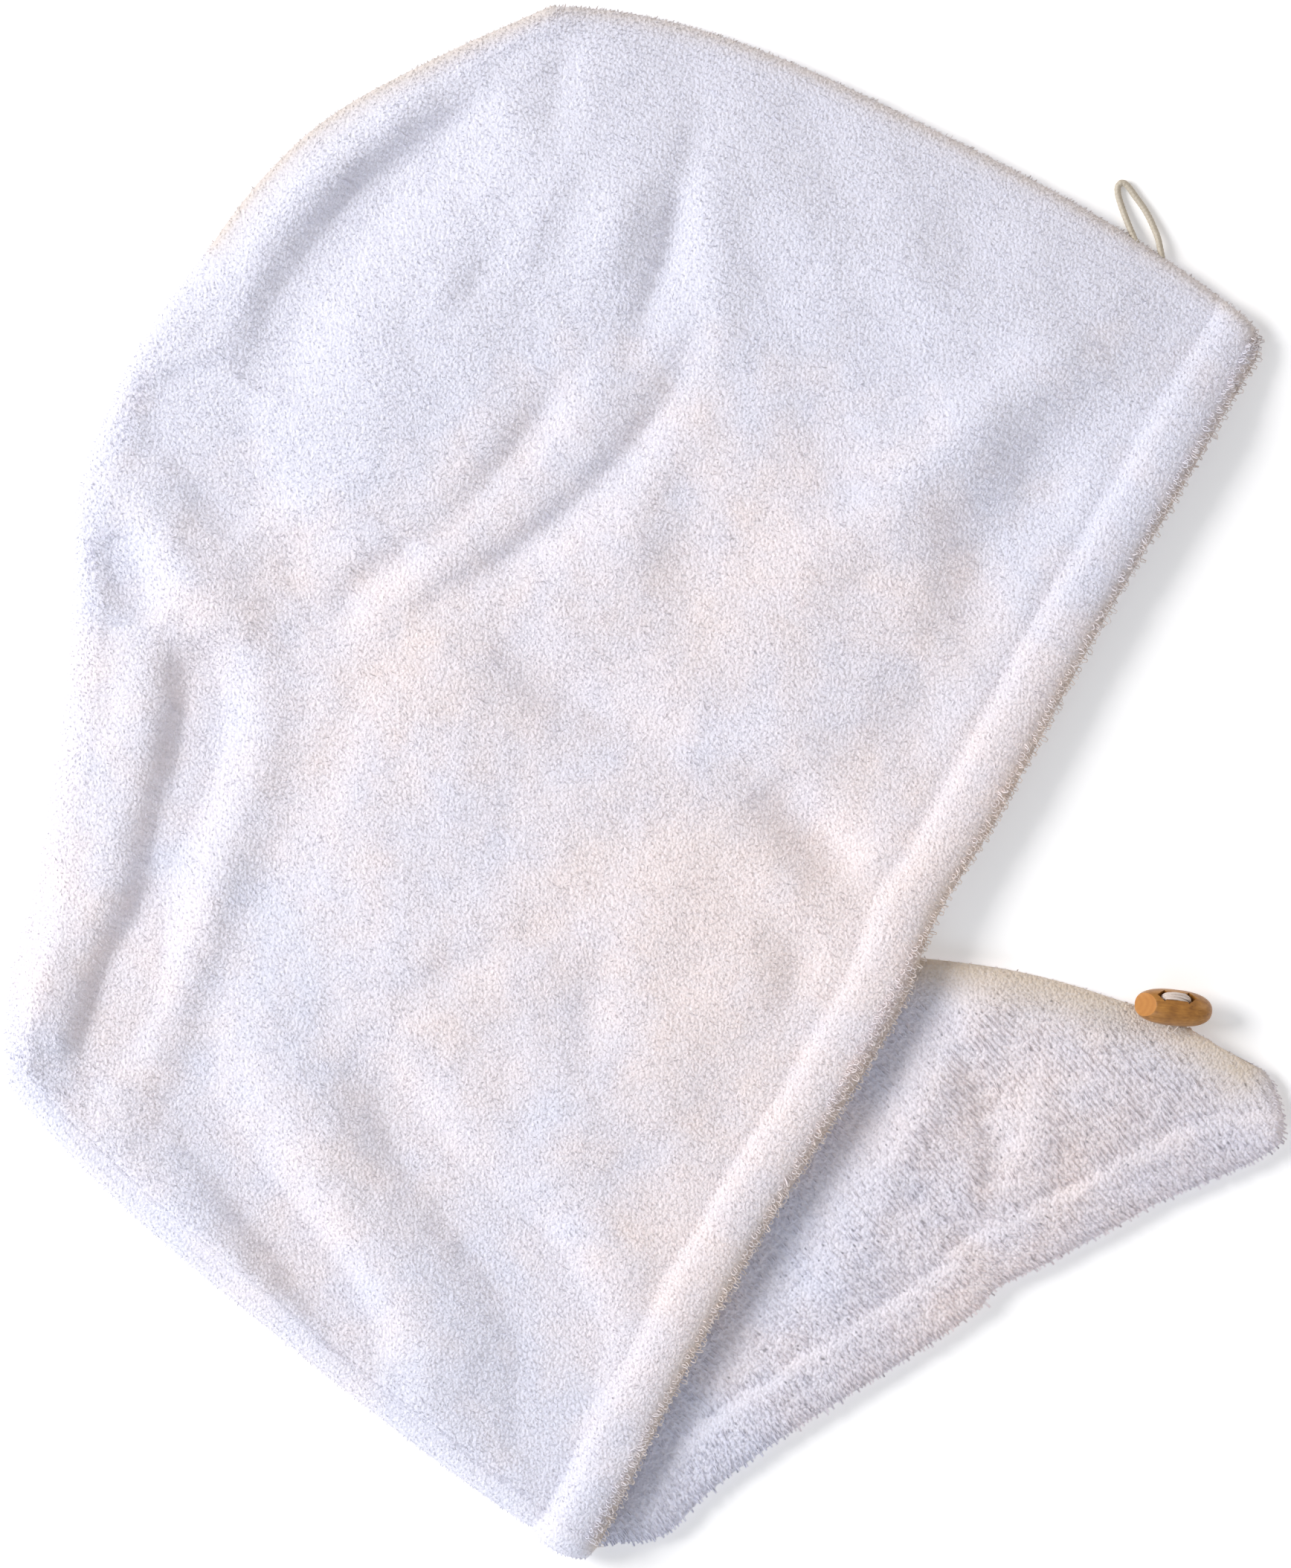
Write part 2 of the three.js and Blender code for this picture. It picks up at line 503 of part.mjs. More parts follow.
// The wooden barrel along X, with its holes and notches towards +Z, and the slanting cut at its -X end
function toggleGeometry() {
  const radius = TOGGLE_DIAMETER / 2;
  const profile = [];
  for (let i = 0; i <= STEPS.barrel; i += 1) {
    const s = -Math.cos((Math.PI * i) / STEPS.barrel);
    const r = i === 0 || i === STEPS.barrel ? 0 : (1 - Math.abs(s) ** TOGGLE_ROUND) ** (1 / TOGGLE_ROUND);
    profile.push(vec2(r * radius, (s * TOGGLE_LENGTH) / 2));
  }
  const lying = new THREE.Matrix4().makeRotationZ(-Math.PI / 2);
  let barrel = solid(new THREE.LatheGeometry(profile, STEPS.barrelSides), lying);
  const roll = new THREE.Matrix4().makeRotationX(radians(-TOGGLE_ROLL));
  const place = (x, z, turn) =>
    roll
      .clone()
      .multiply(new THREE.Matrix4().makeTranslation(x, 0, z))
      .multiply(turn);
  const across = new THREE.Matrix4().makeRotationX(Math.PI / 2);
  const corner = new THREE.Matrix4().makeRotationZ(Math.PI / 4);
  const still = new THREE.Matrix4();
  for (const x of [-HOLE_SPACING / 2, HOLE_SPACING / 2]) {
    const hole = new THREE.CylinderGeometry(HOLE_DIAMETER / 2, HOLE_DIAMETER / 2, 2 * TOGGLE_DIAMETER, 12);
    const notch = new THREE.BoxGeometry(NOTCH_SIDE, NOTCH_SIDE, 2 * SADDLE_DEPTH);
    barrel = barrel.subtract(solid(hole, place(x, 0, across)));
    barrel = barrel.subtract(solid(notch, place(x, radius, corner)));
  }
  const saddle = new THREE.BoxGeometry(HOLE_SPACING, HOLE_DIAMETER, 2 * SADDLE_DEPTH);
  barrel = barrel.subtract(solid(saddle, place(0, radius, still)));
  const block = new THREE.BoxGeometry(TOGGLE_LENGTH, TOGGLE_LENGTH, TOGGLE_LENGTH);
  const slope = new THREE.Matrix4()
    .makeTranslation(CUT_FROM_END - TOGGLE_LENGTH / 2, 0, 0)
    .multiply(new THREE.Matrix4().makeRotationY(radians(CUT_SLOPE)))
    .multiply(new THREE.Matrix4().makeTranslation(-TOGGLE_LENGTH / 2, 0, 0));
  return geometryOf(barrel.subtract(solid(block, slope)));
}

// The thread through both holes and over the saddle between them
function threadGeometry() {
  const foot = -TOGGLE_DIAMETER / 2;
  const top = TOGGLE_DIAMETER / 2 - SADDLE_DEPTH + FIT_GAP + THREAD_DIAMETER / 2;
  const half = HOLE_SPACING / 2;
  const bend = THREAD_DIAMETER / 2;
  const heights = [
    [-half, foot],
    [-half, 0],
    [-half, top - 1.6 * bend],
    [-half + 0.5 * bend, top - 0.5 * bend],
    [-half + 1.6 * bend, top],
    [half - 1.6 * bend, top],
    [half - 0.5 * bend, top - 0.5 * bend],
    [half, top - 1.6 * bend],
    [half, 0],
    [half, foot],
  ];
  const curve = new THREE.CatmullRomCurve3(heights.map(([x, z]) => new THREE.Vector3(x, 0, z)));
  const roll = new THREE.Matrix4().makeRotationX(radians(-TOGGLE_ROLL));
  return tube(THREAD_DIAMETER, curve, STEPS.thread).applyMatrix4(roll);
}

function finish(color, roughness) {
  return new THREE.MeshStandardMaterial({ color, roughness, metalness: 0 });
}

function piece(name, geometry, material) {
  geometry.computeVertexNormals();
  const mesh = new THREE.Mesh(geometry, material);
  mesh.name = name;
  return mesh;
}

const terry = finish(0xe9ebf4, 0.95);
const towel = new THREE.Group();
towel.add(piece("front_panel", panelGeometry("front"), terry));
towel.add(piece("back_panel", panelGeometry("back"), terry.clone()));

// The toggle rests against the rounded seam edge, square to its own length
const toggle = new THREE.Group();
toggle.add(piece("toggle_button", toggleGeometry(), finish(0xb07a3c, 0.45)));
toggle.add(piece("toggle_thread", threadGeometry(), finish(0xe6e0da, 0.9)));
const edgePoint = rowAt(tailRows, TOGGLE_PLACE).seam;
const outward = vec2(-Math.sin(radians(TOGGLE_TURN)), Math.cos(radians(TOGGLE_TURN)));
const edgeHeight = CLOTH_WALL + SEAM_GAP / 2;
const seat = RIM + SEAT_GAP + TOGGLE_DIAMETER / 2;
const sideways = seat * Math.sin(radians(TOGGLE_ROLL)) - RIM;
edgePoint.addScaledVector(outward, sideways);
toggle.position.set(edgePoint.x, edgePoint.y, edgeHeight + seat * Math.cos(radians(TOGGLE_ROLL)));
toggle.rotation.set(0, radians(TOGGLE_RISE), radians(TOGGLE_TURN), "ZYX");
towel.add(toggle);

// The box of what lies there without the loose elastic sets the middle of the frame
towel.updateMatrixWorld(true);
const middle = new THREE.Box3().setFromObject(towel, true).getCenter(new THREE.Vector3());
towel.add(piece("elastic_loop", loopGeometry(), finish(0xa59b87, 0.7)));
towel.position.set(-middle.x, -middle.y, 0);

export default towel;
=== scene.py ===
# %% [markdown]
# A hair turban towel of white terry lies on a pale table, folded once and seen from straight above.
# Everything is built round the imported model, which loads first and never moves. The frame is in metres,
# +Z is up and the table is at z = 0. This lesson makes the cloth, its pile of small loops, the elastic,
# the toggle and its thread.

# %% Load the fixed frame
import math

import bpy
import numpy as np
from mathutils import Matrix, Vector


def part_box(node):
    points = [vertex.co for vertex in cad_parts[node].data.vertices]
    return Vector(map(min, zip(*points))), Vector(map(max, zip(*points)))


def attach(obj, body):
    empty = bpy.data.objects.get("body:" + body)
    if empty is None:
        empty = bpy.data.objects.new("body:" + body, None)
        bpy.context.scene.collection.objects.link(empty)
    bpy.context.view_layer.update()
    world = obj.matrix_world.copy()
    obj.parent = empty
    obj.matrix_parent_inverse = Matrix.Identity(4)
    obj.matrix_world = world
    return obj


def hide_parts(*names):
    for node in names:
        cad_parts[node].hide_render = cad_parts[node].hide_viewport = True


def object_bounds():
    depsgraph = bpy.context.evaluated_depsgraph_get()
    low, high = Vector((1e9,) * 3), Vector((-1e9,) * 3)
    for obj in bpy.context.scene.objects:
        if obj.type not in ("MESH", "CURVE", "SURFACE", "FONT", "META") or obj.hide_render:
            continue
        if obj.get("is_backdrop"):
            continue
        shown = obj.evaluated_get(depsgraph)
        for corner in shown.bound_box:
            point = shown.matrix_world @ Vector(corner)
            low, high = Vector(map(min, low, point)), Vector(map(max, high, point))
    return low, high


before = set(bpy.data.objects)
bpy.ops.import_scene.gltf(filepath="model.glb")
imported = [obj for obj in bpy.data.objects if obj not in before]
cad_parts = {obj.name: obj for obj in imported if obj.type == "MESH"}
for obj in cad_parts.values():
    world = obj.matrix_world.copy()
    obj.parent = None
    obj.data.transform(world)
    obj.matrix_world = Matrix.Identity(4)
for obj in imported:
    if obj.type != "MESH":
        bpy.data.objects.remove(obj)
cad_box = [list(corner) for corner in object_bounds()]
MM = 0.001
BODY = "root"
print("frame:", sorted(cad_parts), "box", [[round(v, 4) for v in c] for c in cad_box])

# %% [markdown]
# A few helpers come back in every step: one puts an object into the scene, the others work on rows of
# points.

# %% Helpers
def add_object(name, data):
    thing = bpy.data.objects.new(name, data)
    bpy.context.scene.collection.objects.link(thing)
    return thing


def unit(vectors):
    return vectors / np.maximum(np.linalg.norm(vectors, axis=-1, keepdims=True), 1e-9)


def smooth(x):
    """A soft step from 0 to 1."""
    x = np.clip(x, 0, 1)
    return x * x * (3 - 2 * x)


def lengths_along(points):
    """How far each point lies along its line."""
    return np.concatenate([[0], np.cumsum(np.linalg.norm(np.diff(points, axis=0), axis=1))])


def read_at(places, length, values):
    """The columns of values at places along a line."""
    return np.column_stack([np.interp(places, length, column) for column in values.T])


# %% [markdown]
# The photo was taken from straight above with the whole towel in the picture. A camera high up with a
# long lens keeps the outline almost free of perspective, so it fits an outline that was drawn flat.

# %% Camera
PICTURE_HEIGHT = 0.4522  # metres of cloth from the picture's upper edge to its lower edge
CAMERA_HEIGHT = 2.5
CLOTH_TOP = 0.006  # level at which the outline is seen
SENSOR = 24.0

lens = bpy.data.cameras.new("top_camera")
lens.sensor_fit = "VERTICAL"
lens.sensor_height = SENSOR
lens.lens = SENSOR * (CAMERA_HEIGHT - CLOTH_TOP) / PICTURE_HEIGHT
lens.clip_end = 50
camera = add_object("top_camera", lens)
camera.location = (0, 0, CAMERA_HEIGHT)
bpy.context.scene.camera = camera
print(f"camera {CAMERA_HEIGHT} m up, lens {lens.lens:.0f} mm")

# %% [markdown]
# The towel is two mirror-cut panels, sewn along the curved edge and open along the straight hem. Its
# shape is known from a pattern: each section is a line from a place on the hem to a place on the seam.
# The same sizes and sections made the solids, so the fine cloth here lies where they lie. Sizes are in
# millimetres up to the last step, because cloth is cut in millimetres.

# %% Sizes of the cut cloth and of its layers
MAIN_HEM = 398  # hem of the main part, from the nape corner to the fold
TAIL_HEM = 234  # hem of the tail, from the fold to the tip
POCKET_WIDTH = 277
MAIN_LEAN = 60.9  # degrees from the main hem to the X axis
TAIL_LEAN = 31.4
CLOTH_WALL = 2.5
SEAM_GAP = 0.3
HEM_WIDTH = 18.5
TOP_HEM = 3.5  # thickness of the turned hem where nothing presses on it
TAIL_TOP_HEM = 2.75  # the tail's hem is pressed flatter
PRESSED_HEM = 3.4
STITCH_DEPTH, STITCH_REACH = 0.12, 3
HEM_CREST = 12  # the hem is thickest up to here and falls gently to its stitch line
HEM_DROOP, TAIL_DROOP, DROOP_REACH = 1.6, 0.4, 9  # its outer edge hangs lower than its middle
HEM_WANDER = 1.3  # the stitch line isn't quite straight
RIM = 3  # radius of the rounded seam edge
BOW_AT_HEM, BOW_AT_SEAM = 0.75, 1.25
NOSE, TAIL_NOSE = 10, 4.5  # how far the hem's rounded edge reaches
NOSE_CURVE = 0.92  # 1 would bring the edge to a point
UPPER_PIVOT, LOWER_PIVOT = 0.25, 0.5  # height of the edge in the thickness of each panel
POCKET_LOFT, TAIL_LOFT = 6, 2.2  # air between the panels
EDGE_REACH, TAIL_EDGE_REACH, MOUTH_REACH, FOLD_REACH = 34, 20, 40, 75
FOLD_CORE = 1
FOLD_CORNER = 5
LOFT_OVER_TAIL = 0.4
LAYER_GAP = 0.6
LEDGE, DRAPE_REACH, UNDER_REACH = 5, 40, 22
INSET_REACH = 9
SHORT_SECTION = 60

# %% Sections of the main part: hem along, hem in, seam along, seam across, bow
MAIN_SECTIONS = np.array([
    (-0.014, 0.002, 0.03, 0.825, -0.035),
    (0.06, 0.005, 0.102, 0.902, -0.012),
    (0.14, 0.007, 0.175, 0.968, 0),
    (0.22, 0.01, 0.24, 1, 0),
    (0.3, 0.009, 0.312, 1.015, 0),
    (0.39, 0.007, 0.385, 1.027, 0),
    (0.475, 0.012, 0.452, 1.021, 0),
    (0.535, -0.001, 0.505, 1.008, 0),
    (0.6, 0, 0.555, 0.974, 0),
    (0.68, 0.007, 0.62, 0.928, 0),
    (0.76, 0.011, 0.7, 0.883, 0),
    (0.84, 0.011, 0.77, 0.848, 0.005),
    (0.91, 0.007, 0.83, 0.826, 0.01),
    (0.988, 0.002, 0.884, 0.79, 0.017),
])

# %% Sections of the tail, in the same columns
TAIL_SECTIONS = np.array([
    (0.09, -0.017, -0.2, 0.727, -0.01),
    (0.16, -0.004, -0.12, 0.704, -0.004),
    (0.27, 0.005, 0.01, 0.664, 0),
    (0.37, 0.007, 0.14, 0.624, 0),
    (0.46, 0.008, 0.26, 0.583, 0),
    (0.57, 0.013, 0.41, 0.524, 0),
    (0.6, 0.022, 0.45, 0.507, 0),
    (0.65, 0.018, 0.515, 0.477, 0),
    (0.76, 0.012, 0.655, 0.405, 0),
    (0.82, 0.0105, 0.737, 0.354, 0),
    (0.87, 0.005, 0.812, 0.303, 0),
    (0.91, 0, 0.868, 0.257, 0),
    (0.94, -0.004, 0.912, 0.214, 0.001),
    (0.97, -0.005, 0.962, 0.163, 0.006),
    (0.994, -0.004, 1.004, 0.088, 0.022),
])


# %% [markdown]
# A pattern has two straight hems that meet at the fold. Each gets its own pair of directions, one along
# the hem and one into the cloth. A smooth curve through the table then gives the section at any place
# along the hem.

# %% Directions of the two hems and the sections as plan points
def heading(degrees):
    return np.array([math.cos(math.radians(degrees)), math.sin(math.radians(degrees))])


main_run = -heading(MAIN_LEAN)
main_in = np.array([main_run[1], -main_run[0]])
tail_run = heading(TAIL_LEAN)
tail_in = np.array([-tail_run[1], tail_run[0]])
nape_corner = -main_run * MAIN_HEM


def plan_rows(table, start, run, into, hem_length):
    """Columns of a table as plan points: key, hem (x, y), seam (x, y), bow (x, y)."""
    place = lambda along, across: (
        start + np.outer(along * hem_length, run) + np.outer(across * POCKET_WIDTH, into)
    )
    hem = place(table[:, 0], table[:, 1])
    seam = place(table[:, 2], table[:, 3])
    bow = np.outer(table[:, 4] * hem_length, run)
    return np.column_stack([table[:, 0], hem, seam, bow])


main_rows = plan_rows(MAIN_SECTIONS, nape_corner, main_run, main_in, MAIN_HEM)
tail_rows = plan_rows(TAIL_SECTIONS, np.zeros(2), tail_run, tail_in, TAIL_HEM)
fold_row = main_rows[-1].copy()
fold_key = fold_row[1:3] @ tail_run / TAIL_HEM
tail_rows = np.vstack([[fold_key, *fold_row[1:]], tail_rows])
fold_axis = fold_row[3:5] - fold_row[1:3]
fold_axis /= np.linalg.norm(fold_axis)
fold_out = np.array([-fold_axis[1], fold_axis[0]])
print("sections:", len(main_rows), "on the main part,", len(tail_rows), "on the tail")


# %% Smooth curve through a table
def through(table, x):
    """Values of a table's columns on a smooth curve at many keys x."""
    keys, values = table[:, 0], table[:, 1:]
    last = len(keys) - 1
    x = np.asarray(x, float)
    i = np.searchsorted(keys[1:-1], x, side="left")
    before = np.maximum(np.arange(last + 1) - 1, 0)
    after = np.minimum(np.arange(last + 1) + 1, last)
    slopes = (values[after] - values[before]) / (keys[after] - keys[before])[:, None]
    span = (keys[i + 1] - keys[i])[..., None]
    t = ((x - keys[i]) / span[..., 0])[..., None]
    rest = 1 - t
    return (
        values[i] * (1 + 2 * t) * rest**2
        + values[i + 1] * t**2 * (3 - 2 * t)
        + slopes[i] * span * t * rest**2
        - slopes[i + 1] * span * t**2 * rest
    )


# %% [markdown]
# A turned hem is thicker than the cloth and a stitch line pulls it in. The seam edge and the hem's nose
# are rounded, and the ends of a panel are bowed. Four small formulas give that, as thickness or as shares
# of 1.

# %% Thickness of the cloth, rounded edges and bowed ends
def thickness(from_hem, hem_height):
    band = 1 - smooth((from_hem - HEM_CREST) / (HEM_WIDTH - HEM_CREST))
    stitch = np.exp(-(((from_hem - HEM_WIDTH) / (STITCH_REACH / 2)) ** 2))
    return CLOTH_WALL + (hem_height - CLOTH_WALL) * band - STITCH_DEPTH * stitch


def rim_share(distance):
    rest = 1 - np.clip(distance / RIM, 0, 1)
    return np.sqrt(1 - rest**2)


def nose_share(from_hem, reach):
    rest = 1 - np.clip(from_hem / reach, 0, 1)
    return np.sqrt(1 - NOSE_CURVE * rest**2)


def bow_share(share):
    return (1 - np.abs(2 * share - 1) ** 3) * (BOW_AT_HEM + (BOW_AT_SEAM - BOW_AT_HEM) * share)


# %% [markdown]
# The cloth has soft folds. Each is drawn as a bent line on the table plane, in millimetres from the
# frame's origin, with a height, below zero for a valley, and how far it reaches to the left and to the
# right of the line. A fold that falls away on one side gets a short reach there.

# %% Folds of the main part: height, reach left, reach right, then the points of the line
MAIN_FOLDS = {
    "crown valley": (-6.1, 17, 8, [(-41, 198), (-57, 188), (-73, 176), (-86, 162), (-97, 149), (-105, 137)]),
    "crown valley end": (-4.6, 16, 9, [(-98, 145), (-104, 136), (-109, 125), (-114, 114)]),
    "crown tuck": (-1.6, 5, 6, [(-22, 214), (-24, 201), (-26, 187)]),
    "crown swell": (1.8, 6, 9, [(-2, 178), (-6, 160), (-13, 143)]),
    "crown groove": (-2, 5, 3.4, [(15, 194), (13, 183), (10, 168), (7, 152), (1, 138), (-5, 123)]),
    "crown ridge": (1.2, 8, 6, [(16, 176), (20, 159), (22, 139), (19, 121), (14, 108)]),
    "small crease": (-1.2, 4, 4, [(-44, 154), (-48, 143), (-55, 134)]),
    "small ridge": (1.2, 5, 5, [(-24, 175), (-31, 163), (-35, 150)]),
    "middle groove": (-2.6, 7, 4, [
        (15, 127), (7, 111), (-4, 97), (-16, 84), (-29, 72), (-51, 58), (-69, 46),
    ]),
    "middle ridge": (0.8, 7, 5, [(16, 119), (8, 104), (2, 90), (-4, 75), (-7, 59), (-9, 48)]),
    "left branch": (-2.1, 7, 4, [(-23, 117), (-31, 104), (-40, 92), (-51, 80), (-65, 69)]),
    "left branch end": (-2.6, 5, 5, [(-65, 69), (-77, 60), (-85, 54), (-89, 47)]),
    "left branch ridge": (0.7, 6, 5, [(-9, 121), (-16, 109), (-26, 97), (-37, 87), (-51, 77)]),
    "tan hollow": (-6.3, 24, 16, [(-137, 121), (-131, 108), (-125, 96), (-116, 83), (-110, 72)]),
    "tan hollow ridge": (0.8, 10, 9, [(-116, 113), (-110, 101), (-101, 88), (-92, 77), (-80, 71)]),
    "left valley top": (-5.2, 8, 9, [(-154, 73), (-149, 64), (-144, 54), (-139, 47)]),
    "left valley": (-6.2, 12, 9, [(-133, 43), (-130, 30), (-130, 14), (-133, -1), (-137, -15)]),
    "left valley end": (-6.4, 11, 8, [
        (-135, -5), (-140, -19), (-143, -32), (-147, -45),
        (-151, -60), (-156, -73), (-160, -86),
    ]),
    "left ridge": (1.4, 8, 7, [(-137, 64), (-124, 55), (-114, 43), (-109, 26), (-110, 9), (-115, -9)]),
    "left ridge end": (2, 7, 7, [(-115, -9), (-120, -22), (-125, -37), (-132, -53), (-137, -67)]),
    "lower left hollow": (-1.3, 12, 10, [(-115, -33), (-119, -55), (-128, -76), (-133, -93)]),
    "fold edge hollow": (-5, 10, 12, [(-130, -92), (-117, -113), (-98, -134), (-82, -152), (-77, -169)]),
    "low ridge": (2.6, 16, 10, [
        (-120, -57), (-110, -79), (-98, -101), (-86, -123),
        (-75, -145), (-62, -167), (-54, -183),
    ]),
    "low valley": (-4, 11, 11, [(-87, -71), (-73, -92), (-60, -110), (-48, -125), (-38, -139)]),
    "low valley end": (-6.6, 13, 12, [(-42, -121), (-31, -139), (-23, -158), (-21, -179), (-22, -200)]),
    "low swell": (1.8, 12, 8, [(-26, -124), (-20, -142), (-19, -164), (-21, -186), (-26, -201)]),
    "broad dip": (-3.8, 9, 10, [(-44, 41), (-31, 31), (-16, 22), (0, 17), (15, 14)]),
    "broad dip end": (-4.7, 8, 10, [(33, 1), (44, -9), (53, -18), (62, -26)]),
    "side shade": (-1, 9, 7, [(18, 97), (12, 76), (10, 60), (12, 43)]),
    "long ridge": (3.1, 12, 10, [(130, 133), (109, 116), (87, 96), (68, 77), (48, 61)]),
    "long valley": (-2.4, 12, 12, [(136, 116), (119, 96), (105, 77), (92, 56), (82, 34)]),
    "lower long valley": (-1.6, 12, 12, [(90, 33), (77, 20), (67, 9)]),
    "right hollow": (-1.6, 7, 7, [(22, -30), (38, -39), (46, -53), (42, -70)]),
    "tail edge under it": (-1, 6, 6, [(-15, -34), (-34, -43), (-55, -53), (-72, -66)]),
    "middle crease": (-1, 6, 6, [(-10, -44), (-15, -63), (-19, -83)]),
    "left crease": (-0.8, 5, 5, [(-80, 30), (-86, 15), (-90, 0)]),
    "crown roll": (2.6, 7, 7, [(-49, 203), (-65, 195), (-80, 185), (-94, 173), (-106, 160), (-116, 143)]),
    "left broad hollow": (-3, 22, 24, [(-107, 98), (-104, 49), (-105, 5), (-112, -48), (-121, -92)]),
    "fold edge roll": (3.2, 22, 8, [(-147, -102), (-132, -123), (-115, -144), (-97, -167)]),
    "left edge roll": (3.4, 15, 8, [(-163, -21), (-166, -39), (-171, -61), (-174, -81)]),
}
# Folds of the tail, in the same columns
TAIL_FOLDS = {
    "tail valley": (-1.5, 6, 6, [(90, -73), (99, -91), (103, -112), (94, -131)]),
    "tail ridge": (1, 8, 7, [(113, -66), (116, -88), (113, -112)]),
    "tail swell": (0.9, 8, 7, [(83, -71), (80, -94), (67, -122)]),
    "hem pucker": (-1.3, 4, 4, [(86, -124), (93, -131), (100, -135)]),
}


# %% [markdown]
# The pattern's own origin is the fold's end of the hem. In the shared frame it lies where the packed
# front panel says: the crown's top and the tail's tip are found on the sections and set against the
# solid's upper right corner.

# %% Where the pattern lies in the frame
def keys_along(table, until, count):
    """Even keys from a table's first row on, up to a share of its length."""
    return table[0, 0] + (table[-1, 0] - table[0, 0]) * np.linspace(0, until, count)


crown_top = through(main_rows, keys_along(main_rows, 1, 400))[:, 3].max()
tip_hem, tip_seam, tip_bow = through(tail_rows, keys_along(tail_rows, 1, 2))[-1].reshape(3, 2)
tip_line = np.linspace(0, 1, 60)[:, None]
tip = tip_hem * (1 - tip_line) + tip_seam * tip_line + tip_bow * bow_share(tip_line)
solid_corner = np.array(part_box("front_panel")[1]) / MM
origin = solid_corner[:2] - [tip[:, 0].max(), crown_top]
print("pattern origin in the frame, mm:", origin.round(2))

# %% [markdown]
# A fold's line is smoothed, and its height falls off on both sides as a bell, with its own reach on each
# side. The height tapers to nothing at both ends, so no fold starts with a step.

# %% Height that the folds add at plan points
FOLD_STEPS = 24
FOLD_END = 0.02  # share of the line at which the taper stops, so that its root stays above 0


def smooth_line(points):
    """A denser line near chosen points, with its corners cut three times."""
    points = np.array(points, float)
    for _ in range(3):
        cut = [points[0]]
        for a, b in zip(points[:-1], points[1:]):
            cut += [0.75 * a + 0.25 * b, 0.25 * a + 0.75 * b]
        points = np.array(cut + [points[-1]])
    length = lengths_along(points)
    return read_at(np.linspace(0, length[-1], FOLD_STEPS + 1), length, points)


def fold_height(fold, points):
    height, left, right, line = fold
    line = smooth_line(line) - origin
    nearest = np.full(len(points), np.inf)
    along = np.zeros(len(points))
    side = np.zeros(len(points))
    for i in range(FOLD_STEPS):
        span = line[i + 1] - line[i]
        off = points - line[i]
        t = np.clip(off @ span / (span @ span), 0, 1)
        apart = off - t[:, None] * span
        distance = np.linalg.norm(apart, axis=1)
        closer = distance < nearest
        nearest = np.where(closer, distance, nearest)
        along = np.where(closer, (i + t) / FOLD_STEPS, along)
        side = np.where(closer, span[0] * off[:, 1] - span[1] * off[:, 0], side)
    reach = np.where(side > 0, left, right)
    taper = np.sqrt(np.sin(np.pi * np.clip(along, FOLD_END, 1 - FOLD_END)))
    return height * taper * np.exp(-((nearest / reach) ** 2))


def folds_at(folds, points):
    return sum(fold_height(fold, points) for fold in folds.values())


# %% [markdown]
# Between its big folds terry is never quite flat: it has small lumps from the wash. A sum of soft waves
# in many directions, with fixed random phases, gives an even field of them that is the same in each run.

# %% Small lumps of the cloth
def lump_field(seed, count, shortest, longest):
    """A field of about -2 to 2, from a count of waves between two lengths in millimetres."""
    draw = np.random.default_rng(seed)
    angle = draw.uniform(0, 2 * np.pi, count)
    wave = 2 * np.pi / draw.uniform(shortest, longest, count)
    phase = draw.uniform(0, 2 * np.pi, count)
    along = np.column_stack([np.cos(angle), np.sin(angle)]) * wave[:, None]
    return lambda points: np.sin(points @ along.T + phase).sum(1) / math.sqrt(count)


fine_lumps = lump_field(3, 40, 5, 12)
wide_lumps = lump_field(5, 30, 22, 60)
FINE_LUMP, WIDE_LUMP = 0.16, 0.45


def lumps_at(points):
    return FINE_LUMP * fine_lumps(points) + WIDE_LUMP * wide_lumps(points)


# %% [markdown]
# The lower layers lift the upper ones. Over the hidden tail the main part rides higher and comes down
# over a short drape. The air between the panels, the loft, grows in from the seam and gets the folds.

# %% Lift over the tail and loft of the pocket
def from_fold(points):
    return -(points - fold_row[1:3]) @ fold_out


def from_main_hem(points):
    return (points - nape_corner) @ main_in


tail_seam_plan = np.column_stack([tail_rows[:, 3:5] @ tail_run, tail_rows[:, 3:5] @ tail_in])


def inside_tail(points):
    along = np.clip(points @ tail_run, tail_seam_plan[0, 0], tail_seam_plan[-1, 0])
    return through(tail_seam_plan, along)[:, 0] - points @ tail_in


def over_tail(points):
    return smooth((inside_tail(points) + LEDGE + DRAPE_REACH) / DRAPE_REACH)


def tail_stack(points):
    band = 1 - smooth((points @ tail_in - HEM_WIDTH) / STITCH_REACH / 2)
    return 2 * CLOTH_WALL + SEAM_GAP + (PRESSED_HEM + TOP_HEM - 2 * CLOTH_WALL) * band


EDGE_ROLL, ROLL_PLACE, ROLL_REACH = 1.0, 7, 5.5  # the seam's turned-in allowance holds the edge up, mm
FOLD_GAIN = 1.15
SWELL, SWELL_REACH = 1.6, 36  # the cloth rises behind its hem
KEEP_OFF = 1  # relief starts this far from a seam or a hem, and is whole after these reaches
SEAM_REACH, NAPE_REACH, HEM_REACH = 9, 12, 12
LEAST_AIR, LEAST_SHARE, TAIL_LEAST_AIR = 0.05, 0.2, 0.1  # a valley never goes through the lower panel


